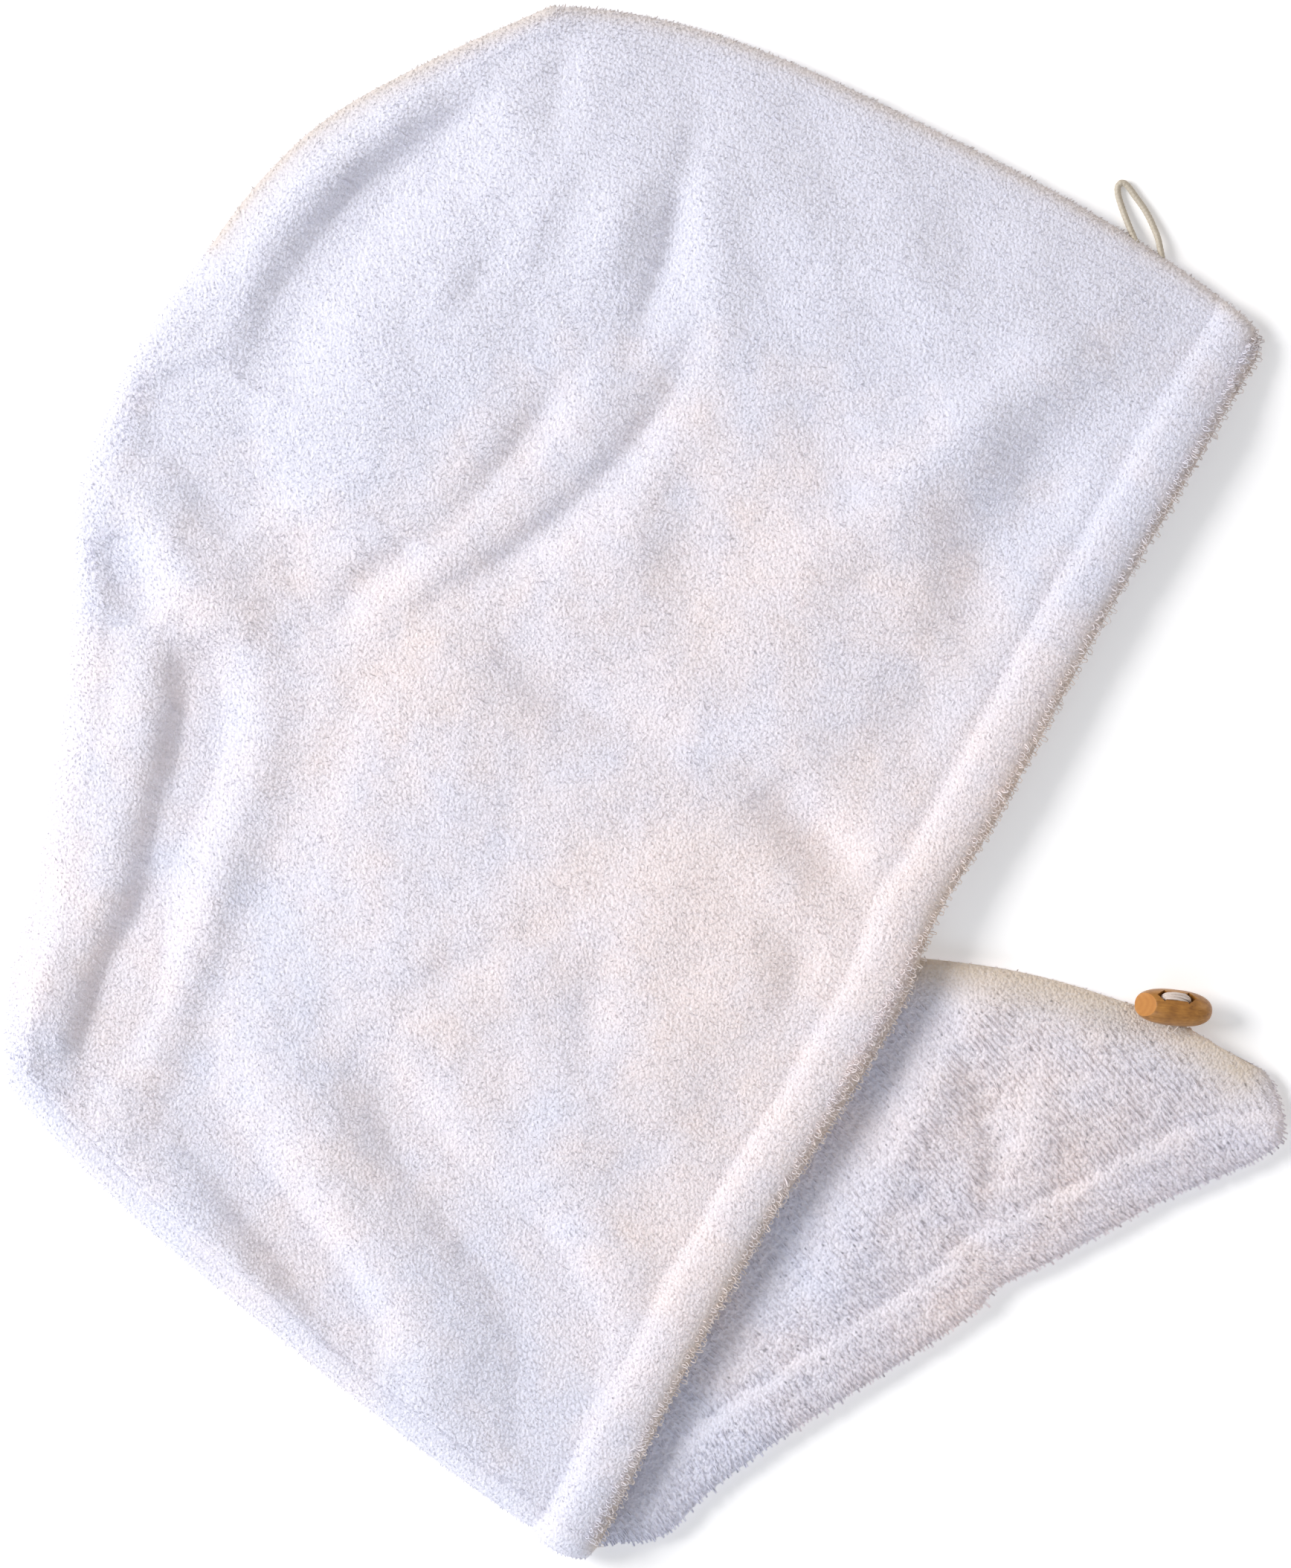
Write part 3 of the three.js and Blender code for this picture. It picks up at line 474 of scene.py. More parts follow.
def main_loft(points, from_seam, from_nape):
    rise = smooth(from_seam / EDGE_REACH) * smooth(from_nape / MOUTH_REACH)
    open_share = smooth(from_fold(points) / FOLD_REACH)
    level = POCKET_LOFT * rise * open_share * (1 + (LOFT_OVER_TAIL - 1) * over_tail(points))
    past_hem = from_main_hem(points) - HEM_WIDTH
    inner = smooth((from_seam - KEEP_OFF) / SEAM_REACH) * smooth(from_nape / NAPE_REACH)
    swell = SWELL * inner * smooth(past_hem / SWELL_REACH)
    inner = inner * smooth((past_hem - KEEP_OFF) / HEM_REACH)
    roll = EDGE_ROLL * np.exp(-(((from_seam - ROLL_PLACE) / ROLL_REACH) ** 2))
    relief = (FOLD_GAIN * folds_at(MAIN_FOLDS, points) + lumps_at(points)) * inner
    return np.maximum(level + roll + swell + relief, LEAST_AIR + LEAST_SHARE * level)


def tail_loft(points, from_seam, from_tip):
    rise = smooth(from_seam / TAIL_EDGE_REACH) * smooth(from_tip / TAIL_EDGE_REACH)
    shown = smooth(-(from_main_hem(points) + RIM) / UNDER_REACH)
    inside = smooth(points @ tail_in / HEM_WIDTH / 2)
    relief = folds_at(TAIL_FOLDS, points) + lumps_at(points)
    return rise * shown * inside * np.maximum(TAIL_LOFT + relief, TAIL_LEAST_AIR)


# %% [markdown]
# One function now gives any point of the cloth. A row of the cloth is either on the main part, at a
# distance from the nape edge, or on the tail, at a distance from the tip, or in the fold, at an angle
# round it. On the row, a point lies at a share of the way from the hem to the seam.

# %% A point of the cloth
MAIN, FOLD, TAIL = 0, 1, 2
main_length = (main_rows[-1, 0] - main_rows[0, 0]) * MAIN_HEM
tail_length = (tail_rows[-1, 0] - tail_rows[0, 0]) * TAIL_HEM
hem_wander = lump_field(21, 14, 25, 90)
TAIL_SHAPE_FROM = 40  # the tail's hem has its own shape from this far off the fold


def tail_share(part, points):
    """0 where the hem is shaped as the main part's, 1 where it is shaped as the tail's."""
    return smooth(from_fold(points) / TAIL_SHAPE_FROM) if part == TAIL else np.zeros(len(points))


def faces_at(part, points, from_hem, from_seam, end):
    """Heights of the outside and inside of the lower and the upper panel."""
    rim = rim_share(from_seam) * rim_share(end)
    on_tail = tail_share(part, points)
    top_hem = TOP_HEM + (TAIL_TOP_HEM - TOP_HEM) * on_tail
    stitched = from_hem + HEM_WANDER * hem_wander(points)
    near_fold = 1.0 if part == FOLD else 1 - smooth(from_fold(points) / HEM_WIDTH / 2)
    lower = thickness(from_hem, PRESSED_HEM)
    upper = thickness(stitched, top_hem + (PRESSED_HEM - top_hem) * near_fold)
    base, loft = FOLD_CORE if part == FOLD else 0.0, 0.0
    if part == TAIL:
        loft = tail_loft(points, from_seam, end)
    if part == MAIN:
        loft = main_loft(points, from_seam, end)
        fold_top = 2 * thickness(from_hem, PRESSED_HEM) + SEAM_GAP + 2 * FOLD_CORE
        lift = over_tail(points) * (tail_stack(points) + LAYER_GAP)
        base = lift + (fold_top - lift) * near_fold
    hang = HEM_DROOP + (TAIL_DROOP - HEM_DROOP) * on_tail
    lower = lower - hang * (1 - np.clip(from_hem / DROOP_REACH, 0, 1)) ** 2
    seam = base + lower + SEAM_GAP / 2
    return {
        "lower_out": seam - SEAM_GAP / 2 - lower * rim,
        "lower_in": seam - SEAM_GAP / 2,
        "upper_in": seam + SEAM_GAP / 2 + loft,
        "upper_out": seam + SEAM_GAP / 2 + (loft + upper) * rim,
    }


def section_at(part, row):
    """Hem point, way across and bow of the sections at rows of one part."""
    if part == FOLD:
        found = np.broadcast_to(fold_row[1:], (len(row), 6))
    elif part == MAIN:
        found = through(main_rows, main_rows[0, 0] + row / MAIN_HEM)
    else:
        found = through(tail_rows, tail_rows[-1, 0] - row / TAIL_HEM)
    return found[:, 0:2], found[:, 2:4] - found[:, 0:2], found[:, 4:6]


NAPE_ROUND = 9  # radius of the cloth's corner at the nape end of the hem


def round_corner(from_hem, end):
    """Moves that turn the square corner into a quarter circle."""
    x = np.clip(1 - from_hem / NAPE_ROUND, 0, 1)
    y = np.clip(1 - end / NAPE_ROUND, 0, 1)
    keep = np.maximum(x, y) / np.maximum(np.hypot(x, y), 1e-6)
    keep = np.where(np.minimum(x, y) > 0, keep, 1)
    move = NAPE_ROUND * (1 - keep)
    return main_in * (x * move)[:, None] + main_run * (y * move)[:, None]


def cloth_points(part, row, share, layer, side):
    """Points in the pattern's millimetres. row is mm from the part's end, or degrees round the fold."""
    hem, across, bow = section_at(part, row)
    length = np.linalg.norm(across, axis=1)
    scale = np.minimum(1, length / SHORT_SECTION)
    from_hem = share * length / scale
    from_seam = (1 - share) * length / scale
    end = np.full(len(row), np.inf) if part == FOLD else row
    turn = np.radians(row) if part == FOLD else None
    drawn = FOLD_CORNER * np.cos(turn) * share**4 / length if part == FOLD else 0
    plan = hem + across * (share - drawn)[:, None] + bow * bow_share(share)[:, None]
    faces = faces_at(part, plan, from_hem, from_seam, end)
    if part == MAIN:
        plan = plan + round_corner(from_hem, end)
    out, into = faces[layer + "_out"], faces[layer + "_in"]
    nose = NOSE + (TAIL_NOSE - NOSE) * tail_share(part, plan)
    pivot = into + (out - into) * (UPPER_PIVOT if layer == "upper" else LOWER_PIVOT)
    height = pivot + ((out if side == "out" else into) - pivot) * nose_share(from_hem, nose)
    if part != FOLD:
        return np.column_stack([plan, height])
    inf = np.full(len(row), np.inf)
    whole = faces_at(FOLD, plan, from_hem, inf, inf)["upper_out"]
    plan = plan + fold_out * (height * np.cos(turn))[:, None]
    return np.column_stack([plan, whole + height * np.sin(turn)])


def to_frame(points):
    """Pattern millimetres to metres in the shared frame."""
    return (points + [*origin, 0]) * MM


# %% [markdown]
# The two panels are closed bodies. Where a panel shows, its rows are 2.9 mm apart, and where it lies on
# the table or inside, 9 mm do. The front panel is the upper cloth of the main part, goes round the fold
# and ends as the lower cloth of the tail, and the back panel the other way round.

# %% Rows and columns of a panel
RIM_PLACES = np.array([0, 0.12, 0.5, 1.1, 1.9, RIM])
HEM_PLACES = np.array([  # close at the nose and at the stitch line
    0, 0.25, 0.9, 1.9, 3.1, 4.5, 6.8, 9.3, 12, 14.3, 15.6, 16.7, 17.7, 18.5, 19.6, 21.5,
])
FINE_STEP, COARSE_STEP = 2.9, 9
FOLD_TURNS = np.linspace(90, -90, 21)


def rows_between(length, step):
    """Distances from a part's end: close rows on the rounded edge and even rows after it."""
    count = round((length - RIM) / step)
    return np.concatenate([RIM_PLACES[:-1], np.linspace(RIM, length, count + 1)[:-1]])


def columns_of(length):
    """Shares across a section of one length, with close columns at the hem and at the seam."""
    scale = min(1, length / SHORT_SECTION)
    hem = HEM_PLACES * scale
    rim = length - np.append(INSET_REACH, RIM_PLACES[::-1]) * scale
    inner = np.linspace(hem[-1], rim[0], INNER_COLUMNS + 1)[1:-1]
    return np.concatenate([hem, inner, rim]) / length


INNER_COLUMNS = round((POCKET_WIDTH - HEM_PLACES[-1] - INSET_REACH) / FINE_STEP)
panel_layers = {
    "front": {MAIN: "upper", FOLD: "upper", TAIL: "lower"},
    "back": {MAIN: "lower", FOLD: "lower", TAIL: "upper"},
}


def panel_rows(panel):
    main_step = FINE_STEP if panel == "front" else COARSE_STEP
    tail_step = COARSE_STEP if panel == "front" else FINE_STEP
    rows = [(MAIN, d) for d in rows_between(main_length, main_step)]
    rows += [(FOLD, turn) for turn in FOLD_TURNS]
    return rows + [(TAIL, d) for d in rows_between(tail_length, tail_step)[::-1]]


# %% [markdown]
# The outer rims that face away from the window are painted tan: painted warm shade, for the shade on them
# and the warm light that they catch from the right. How near a point is to such a rim is stored in the mesh
# as an attribute, and the finish mixes its colour by it.

# %% Measure how near a rim is
def edge_places(table, first, until=1.0):
    """Places along the hem (first = 0) or the seam (first = 2) of one part, close together."""
    return through(table, keys_along(table, until, 130))[:, first:first + 2]


nape_edge = cloth_points(MAIN, np.zeros(60), np.linspace(0, 1, 60), "upper", "out")[:, :2]
# The lines along which the rims get painted warm shade, each with its places, strength and reach.
rim_lines = {  # places, strength, reach in mm
    "main": [
        (edge_places(main_rows, 0), 0.75, 3.2),
        (edge_places(main_rows, 2, until=0.3), 0.7, 3.5),
        (nape_edge, 0.6, 3.5),
    ],
    "tail": [(edge_places(tail_rows, 2), 1.0, 9.0)],
}


def rim_shade_and_wear(plan, part):
    """How near places in the pattern's millimetres lie to the rims, from 0 to 1: the share of painted warm
    rim shade, which also flattens the tail's loops.
    """
    tan = np.zeros(len(plan))
    for line, strength, reach in rim_lines[part]:
        squared = np.full(len(plan), np.inf)
        for place in line:
            squared = np.minimum(squared, ((plan - place) ** 2).sum(1))
        tan = np.maximum(tan, strength * np.exp(-squared / reach**2))
    return tan


def mark_rim_shade(piece, shares):
    layer = piece.data.attributes.new("rim", "FLOAT", "POINT")
    layer.data.foreach_set("value", shares.astype(np.float32))


# %% [markdown]
# The inner face keeps a little back from the seam, so that the cloth ends in a wall and not in a knife
# edge. The faces of the mesh are the same grid twice, outside and inside, and a strip round the edge.

# %% Build a panel as one closed mesh
def panel_points(rows, layers, side):
    grid = []
    for part in (MAIN, FOLD, TAIL):
        row = np.array([place for p, place in rows if p == part])
        if side == "in" and part != FOLD:
            row = row + CLOTH_WALL * (1 - np.clip(row / INSET_REACH, 0, 1))
        _, across, _ = section_at(part, row)
        lengths = np.linalg.norm(across, axis=1)
        shares = np.array([columns_of(length) for length in lengths])
        if side == "in":
            scale = np.minimum(1, lengths / SHORT_SECTION)
            from_seam = (1 - shares) * (lengths / scale)[:, None]
            back = CLOTH_WALL * (1 - np.clip(from_seam / INSET_REACH, 0, 1))
            shares = np.clip(shares - back * (scale / lengths)[:, None], 0, 1)
        wide = np.repeat(row, shares.shape[1])
        grid.append(cloth_points(part, wide, shares.ravel(), layers[part], side).reshape(*shares.shape, 3))
    return np.concatenate(grid)


def mesh_object(name, points, faces):
    """A mesh object from arrays: points in metres, faces as rows of 3 or 4 indices."""
    faces = np.asarray(faces, np.int32)
    corners = faces.shape[1]
    mesh = bpy.data.meshes.new(name)
    mesh.vertices.add(len(points))
    mesh.vertices.foreach_set("co", np.asarray(points, np.float32).ravel())
    mesh.loops.add(faces.size)
    mesh.loops.foreach_set("vertex_index", faces.ravel())
    mesh.polygons.add(len(faces))
    mesh.polygons.foreach_set("loop_start", np.arange(len(faces), dtype=np.int32) * corners)
    mesh.polygons.foreach_set("use_smooth", np.ones(len(faces), bool))
    mesh.update(calc_edges=True)
    mesh.validate()
    return add_object(name, mesh)


def panel_mesh(panel):
    rows = panel_rows(panel)
    outer = panel_points(rows, panel_layers[panel], "out")
    inner = panel_points(rows, panel_layers[panel], "in")
    n, m = outer.shape[:2]
    number = np.arange(n * m).reshape(n, m)
    behind = number + n * m
    out_quads = np.stack([number[:-1, :-1], number[:-1, 1:], number[1:, 1:], number[1:, :-1]], -1)
    in_quads = np.stack([behind[:-1, :-1], behind[1:, :-1], behind[1:, 1:], behind[:-1, 1:]], -1)
    strip = lambda a, b: np.stack([a[:-1], a[1:], b[1:], b[:-1]], -1)
    faces = np.concatenate([
        out_quads.reshape(-1, 4),
        in_quads.reshape(-1, 4),
        strip(number[:, 0], behind[:, 0]),
        strip(number[::-1, -1], behind[::-1, -1]),
        strip(number[0, ::-1], behind[0, ::-1]),
        strip(number[-1], behind[-1]),
    ])
    if panel == "back":
        faces = faces[:, ::-1]
    points = np.concatenate([outer.reshape(-1, 3), inner.reshape(-1, 3)])
    cloth = mesh_object(panel + "_cloth", to_frame(points), faces)
    # Painted warm shade near the outer rims goes into the mesh as its rim attribute.
    mark_rim_shade(cloth, rim_shade_and_wear(points[:, :2], "main" if panel == "front" else "tail"))
    return cloth


front_cloth = panel_mesh("front")
back_cloth = panel_mesh("back")
for cloth in (front_cloth, back_cloth):
    size = np.ptp(np.array(cloth.bound_box), axis=0) / MM
    print(cloth.name, len(cloth.data.polygons), "faces, size in mm", size.round(1))

# %% [markdown]
# Terry pile is rows of small yarn loops that stand out of the cloth. Here they are real loops in the mesh,
# so many are swept at once with arrays. A loop is a short tube with three sides, in the shape of an arch
# or of a ring: that keeps it to a few faces, and there are tens of thousands.

# %% Sweep many yarn loops into one mesh
SECTION = np.radians([90, 210, 330])


def arch(steps):
    """Across and up of an open arch, in shares of its width and height."""
    t = np.linspace(0, 1, steps + 1)
    return -0.5 * np.cos(np.pi * t), np.sin(np.pi * t)


def ring(steps):
    """The same for a loop whose two feet stand close together."""
    t = np.linspace(0.04, 0.96, steps + 1)
    return 0.5 * np.sin(2 * np.pi * t), 0.5 - 0.5 * np.cos(2 * np.pi * t)


def ring_quads(number):
    """Faces between the rings of a tube, from the numbers of their points."""
    here, ahead = number[..., :-1, :], number[..., 1:, :]
    return np.stack([here, np.roll(here, -1, -1), np.roll(ahead, -1, -1), ahead], -1).reshape(-1, 4)


def sweep_loops(base, normal, side, lean, width, height, yarn, shape, steps):
    """Points and faces of loops: base, normal, side and lean are rows of vectors, the sizes are columns."""
    up = unit(normal + lean)
    side = unit(side - up * (side * up).sum(1, keepdims=True))
    flat = np.cross(side, up)
    across, rise = shape(steps)
    line = (
        base[:, None]
        + side[:, None] * (width[:, None] * across)[..., None]
        + up[:, None] * (height[:, None] * rise)[..., None]
    )
    way = unit(np.gradient(line, axis=1))
    out = np.cross(way, flat[:, None])
    corner = (
        out[:, :, None] * np.cos(SECTION)[:, None]
        + flat[:, None, None] * np.sin(SECTION)[:, None]
    )
    points = line[:, :, None] + corner * yarn[:, None, None, None]
    count, stations, sides = points.shape[:3]
    number = np.arange(count * stations * sides).reshape(count, stations, sides)
    return points.reshape(-1, 3), ring_quads(number)


# %% [markdown]
# The loops stand on the cloth, so their feet come from the same surface. It is worked out on a grid, and
# places are then taken at even steps along each row, measured on the surface itself, so that the steep
# rounded edges get their share. A fixed random draw shifts each place a little.

# %% Even places on the cloth
ROW_START = 0.3  # these three are shares of a step
ALONG_DRAW, ACROSS_DRAW = 0.32, 0.3


def pile_rows(part, step):
    if part == FOLD:
        return np.linspace(90, -60, round(math.pi * (CLOTH_WALL + FOLD_CORE) / step) + 1)
    length = main_length if part == MAIN else tail_length
    edge = RIM * (1 - np.cos(np.linspace(0.15, math.pi / 2, 4)))
    return np.concatenate([edge, np.arange(RIM + step, length, step)])


def places_on(part, layer, step, draw, across=260):
    """Feet in mm, outward normals, and directions along the rows and across them, at even places."""
    rows = pile_rows(part, step)
    share = np.concatenate([
        np.linspace(0, 0.02, 8)[:-1],
        np.linspace(0.02, 0.985, across),
        [0.991, 0.996, 0.999, 1],
    ])
    points = cloth_points(
        part, np.repeat(rows, len(share)), np.tile(share, len(rows)), layer, "out"
    ).reshape(len(rows), len(share), 3)
    along_rows = np.gradient(points, axis=0)
    along_share = np.gradient(points, axis=1)
    facing = -1 if layer == "lower" else 1
    normal = facing * unit(np.cross(along_share, along_rows))
    found = []
    for i in range(len(rows)):
        length = lengths_along(points[i])
        count = max(int(length[-1] / step), 1)
        shifts = ROW_START + 0.5 * (i % 2) + draw.uniform(-ALONG_DRAW, ALONG_DRAW, count)
        at = np.clip((np.arange(count) + shifts) * length[-1] / count, 0.05, length[-1] - 0.05)
        pick = lambda values: read_at(at, length, values[i])
        way = unit(pick(along_rows))
        feet = pick(points) + way * (draw.uniform(-ACROSS_DRAW, ACROSS_DRAW, count) * step)[:, None]
        found.append((feet, unit(pick(normal)), way, unit(pick(along_share))))
    return [np.concatenate(column) for column in zip(*found)]


# %% [markdown]
# Washed terry is combed by hand and by gravity. Loops lean down the slopes and a little towards one side,
# and each leans and turns by its own amount. On the main part the loops are fine and lie close. On the
# hem's nose they stand as clear rings that can be counted, and on the tail they are longer and combed one
# way.

# %% Kinds of pile
TABLE_CLEAR = 0.15  # no yarn reaches lower than this over the table, mm
SUNK = 0.3  # feet of the loops in the cloth, mm
SIZE_SPREAD, YARN_SPREAD = 0.2, 0.1
SEAM_WEAR = 0.6  # the tail's loops are flattened along its seam by up to this share
pile_kinds = {
    "fine": {
        "step": 1.48, "shape": arch, "steps": 2, "width": 0.6, "height": 0.8, "yarn": 0.15,
        "comb": (0.7, -0.4), "turn": 0.9, "stray": 0.5, "swirl": 0.7,
    },
    "nose": {
        "step": 1.4, "shape": ring, "steps": 5, "width": 1.15, "height": 1.9, "yarn": 0.2,
        "comb": (0.3, -0.35), "turn": 0.5, "stray": 0.35, "swirl": 0.4,
    },
    "tail": {
        "step": 1.4, "shape": arch, "steps": 3, "width": 0.5, "height": 1.7, "yarn": 0.2,
        "comb": (1.6, -1.9), "turn": 0.25, "stray": 0.2, "swirl": 0.15,
    },
}
swirl = lump_field(9, 24, 30, 90)  # hands leave the nap combed this way here and that way there


def pile_piece(name, kind, feet, normal, way, across, draw):
    """Loops of one kind on given places, as one joined mesh."""
    sizes = pile_kinds[kind]
    count = len(feet)
    vary = lambda spread: np.exp(draw.normal(0, spread, count))
    yaw = draw.normal(0, sizes["turn"], count)
    side = way * np.cos(yaw)[:, None] + across * np.sin(yaw)[:, None]
    downhill = np.column_stack([normal[:, 0], normal[:, 1], np.zeros(count)])
    turn = sizes["swirl"] * swirl(feet[:, :2])
    x, y = sizes["comb"]
    sine, cosine = np.sin(turn), np.cos(turn)
    comb = np.column_stack([x * cosine - y * sine, x * sine + y * cosine, np.zeros(count)])
    lean = downhill + comb + draw.normal(0, sizes["stray"], (count, 3)) * [1, 1, 0.3]
    part = "tail" if kind == "tail" else "main"
    # Loops near the rims get the same painted warm shade, and on the tail they are also flattened there.
    shares = rim_shade_and_wear(feet[:, :2], part)
    worn = 1 - SEAM_WEAR * shares if part == "tail" else 1
    width, height = sizes["width"] * vary(SIZE_SPREAD), sizes["height"] * vary(SIZE_SPREAD) * worn
    yarn = sizes["yarn"] * vary(YARN_SPREAD)
    points, faces = sweep_loops(
        feet - normal * SUNK, normal, side, lean, width, height, yarn, sizes["shape"], sizes["steps"]
    )
    points[:, 2] = np.maximum(points[:, 2], TABLE_CLEAR)
    piece = mesh_object(name, to_frame(points), faces)
    mark_rim_shade(piece, np.repeat(shares, len(points) // count))
    print(name, count, "loops", 2 * len(faces), "triangles")
    return piece


# %% Choose the loops that can be seen
draw = np.random.default_rng(11)
HIDDEN_UNDER = 6  # loops of the tail go on under the main hem by this much, mm
NOSE_BAND, NOSE_OVERLAP = 5, 0.5  # the hem's nose has the clear loops, up to this distance from the edge, mm


def kept(places, keep):
    return [column[keep] for column in places]


main_places = places_on(MAIN, "upper", pile_kinds["fine"]["step"], draw)
fold_places = places_on(FOLD, "upper", pile_kinds["fine"]["step"], draw)
fine_places = kept(main_places, from_main_hem(main_places[0][:, :2]) > NOSE_BAND)
fine_places = [np.concatenate(pair) for pair in zip(fine_places, fold_places)]

nose_places = places_on(MAIN, "upper", pile_kinds["nose"]["step"], draw)
nose_places = kept(nose_places, from_main_hem(nose_places[0][:, :2]) < NOSE_BAND + NOSE_OVERLAP)

tail_places = places_on(TAIL, "upper", pile_kinds["tail"]["step"], draw)
tail_places = kept(tail_places, from_main_hem(tail_places[0][:, :2]) < HIDDEN_UNDER)
print("places:", len(fine_places[0]), "fine,", len(nose_places[0]), "nose,", len(tail_places[0]), "tail")


# %% [markdown]
# The lower layers show only at their edges, seen from the side. A narrow band of loops there keeps the
# outline soft all round.

# %% Loops on the lower edges
FLAT_UNDERSIDE = 0.97  # where the cloth faces down more than this, it lies on something
EDGE_LEVELS = (0.35, 12)  # loops stand only between these levels, mm
EDGE_STEP = 1.7


def lower_edge_places(part):
    places = places_on(part, "lower", EDGE_STEP, draw)
    feet, normal = places[:2]
    keep = np.abs(normal[:, 2]) < FLAT_UNDERSIDE
    keep &= (feet[:, 2] > EDGE_LEVELS[0]) & (feet[:, 2] < EDGE_LEVELS[1])
    if part == TAIL:
        keep &= from_main_hem(feet[:, :2]) < HIDDEN_UNDER
    return kept(places, keep)


edge_places = [np.concatenate(pair) for pair in zip(lower_edge_places(MAIN), lower_edge_places(TAIL))]
print("places on the lower edges:", len(edge_places[0]))

# %% [markdown]
# A piece of more than about 200,000 triangles is slow to handle, so the fine pile is split into bands
# across the towel, from the crown to the fold.

# %% Make the pile
PIECE_LIMIT = 190_000
fine_faces = 2 * 3 * pile_kinds["fine"]["steps"]
bands = math.ceil(len(fine_places[0]) * fine_faces / PIECE_LIMIT)
order = np.argsort(-fine_places[0][:, 1], kind="stable")
front_pile = [
    pile_piece(f"front_pile_{i + 1}", "fine", *kept(fine_places, chosen), draw)
    for i, chosen in enumerate(np.array_split(order, bands))
]
hem_pile = pile_piece("front_hem_pile", "nose", *nose_places, draw)
tail_pile = pile_piece("tail_pile", "tail", *tail_places, draw)
edge_pile = pile_piece("edge_pile", "fine", *edge_places, draw)

# %% [markdown]
# The elastic is a thin cord in a braided sheath. Its route is a few chosen points, to the right and up
# from where its first leg leaves the nape edge, and the same points made its solid. A smooth curve goes
# through them. Both ends run on inside the seam as a piece of their own, because the free length ends
# where the cloth begins.

# %% Route of the elastic loop, in millimetres
LOOP_DIAMETER = 2
LOOP_SHARE = 0.213  # where the loop leaves the nape edge, as a share of that edge
LOOP_ROUTE = [
    (-0.3, 1.5, 2.6),
    (-1.3, 4, 2.1),
    (-3.1, 8.9, 1.4),
    (-4.2, 12.9, 1.1),
    (-4.1, 14.9, 1.05),
    (-3, 15.9, 1.05),
    (-1.7, 15.3, 1.05),
    (0.9, 11.9, 1.1),
    (3.7, 7.9, 1.3),
    (5.9, 3.5, 1.8),
    (7.4, -0.5, 2.4),
    (7.9, -2.9, 2.6),
]


def curve_through(points, steps):
    """Centripetal curve through points, sampled evenly along its length."""
    points = np.array(points, float)
    ends = [2 * points[0] - points[1], *points, 2 * points[-1] - points[-2]]
    samples = []
    for a, b, c, d in zip(ends, ends[1:], ends[2:], ends[3:]):
        knots = np.cumsum([0] + [np.linalg.norm(q - p) ** 0.5 for p, q in ((a, b), (b, c), (c, d))])
        for t in np.linspace(knots[1], knots[2], 12, endpoint=False):
            mix = lambda p, q, i, j: (p * (knots[j] - t) + q * (t - knots[i])) / (knots[j] - knots[i])
            ab, bc, cd = mix(a, b, 0, 1), mix(b, c, 1, 2), mix(c, d, 2, 3)
            samples.append(mix(mix(ab, bc, 0, 2), mix(bc, cd, 1, 3), 1, 2))
    samples = np.array(samples + [points[-1]])
    length = lengths_along(samples)
    return read_at(np.linspace(0, length[-1], steps + 1), length, samples), length[-1]


nape_hem, nape_across, nape_bow = (found[0] for found in section_at(MAIN, np.zeros(1)))
anchor = nape_hem + nape_across * LOOP_SHARE + nape_bow * bow_share(LOOP_SHARE)
route = [(anchor[0] + x, anchor[1] + y, z) for x, y, z in LOOP_ROUTE]
cord_line, cord_length = curve_through(route, 180)
print(f"elastic loop {cord_length:.1f} mm long")

# %% [markdown]
# The sheath is braided from fine yarns that cross in two directions. Two families of helices round the
# cord, multiplied, give the raised crossings, so the braid is in the shape and not only in its colour.

# %% Tubes along one line, with a relief
def tube(points, radius, sides, relief=None):
    """Points and quads of a closed tube. relief(angle, along) is a share that is added to the radius."""
    points = np.asarray(points, float)
    way = unit(np.gradient(points, axis=0))
    up = np.zeros(3)
    up[np.argmin(np.abs(way[0]))] = 1
    frames = []
    for direction in way:
        up = unit(up - direction * (up @ direction))
        frames.append((up, np.cross(direction, up)))
    angle = np.linspace(0, 2 * np.pi, sides, endpoint=False)
    along = lengths_along(points)
    share = relief(angle[None], along[:, None]) if relief else 0
    reach = np.broadcast_to(radius * (1 + share), (len(points), sides))
    rings = np.array([
        p + r[:, None] * (np.cos(angle)[:, None] * u + np.sin(angle)[:, None] * v)
        for p, r, (u, v) in zip(points, reach, frames)
    ])
    number = np.arange(len(points) * sides).reshape(-1, sides)
    turned = np.roll(number, -1, axis=1)
    first_cap, last_cap = np.full(sides, number.size), np.full(sides, number.size + 1)
    first = np.stack([turned[0], number[0], first_cap], -1)
    last = np.stack([number[-1], turned[-1], last_cap], -1)
    return np.concatenate([rings.reshape(-1, 3), points[[0, -1]]]), [*ring_quads(number), *first, *last]


def tubes_object(name, tubes):
    """Several tubes as one mesh object, in metres."""
    points, faces = [], []
    for more_points, more_faces in tubes:
        start = sum(map(len, points))
        faces += [[int(i) + start for i in face] for face in more_faces]
        points.append(more_points)
    mesh = bpy.data.meshes.new(name)
    mesh.from_pydata(np.concatenate(points).tolist(), [], faces)
    mesh.shade_smooth()
    return add_object(name, mesh)


BRAID_LAY = 2.2  # mm of cord for one turn of a braid yarn
BRAID_YARNS = 6
BRAID_DEPTH = 0.07  # share of the radius
CORD_SIDES = 24
CORE_SHARE = 0.96  # the sheath's middle level, as a share of the cord's own radius
SEWN_IN, SEWN_BACK = 4.5, 0.3  # mm of each end inside the seam, and back over the free cord's end


def braid(angle, along):
    twist = 2 * np.pi * along / BRAID_LAY
    crossing = np.cos(BRAID_YARNS / 2 * angle + twist) * np.cos(BRAID_YARNS / 2 * angle - twist)
    return BRAID_DEPTH * crossing


def elastic_tube(line):
    radius = LOOP_DIAMETER / 2 * MM * CORE_SHARE
    return tube(to_frame(line), radius, CORD_SIDES, lambda angle, along: braid(angle, along / MM))


def sewn_end(end, before):
    """The end that runs on inside the seam, from a little before the free cord's own end."""
    way = unit(end - before)
    return end + way * np.linspace(-SEWN_BACK, SEWN_IN, 24)[:, None]


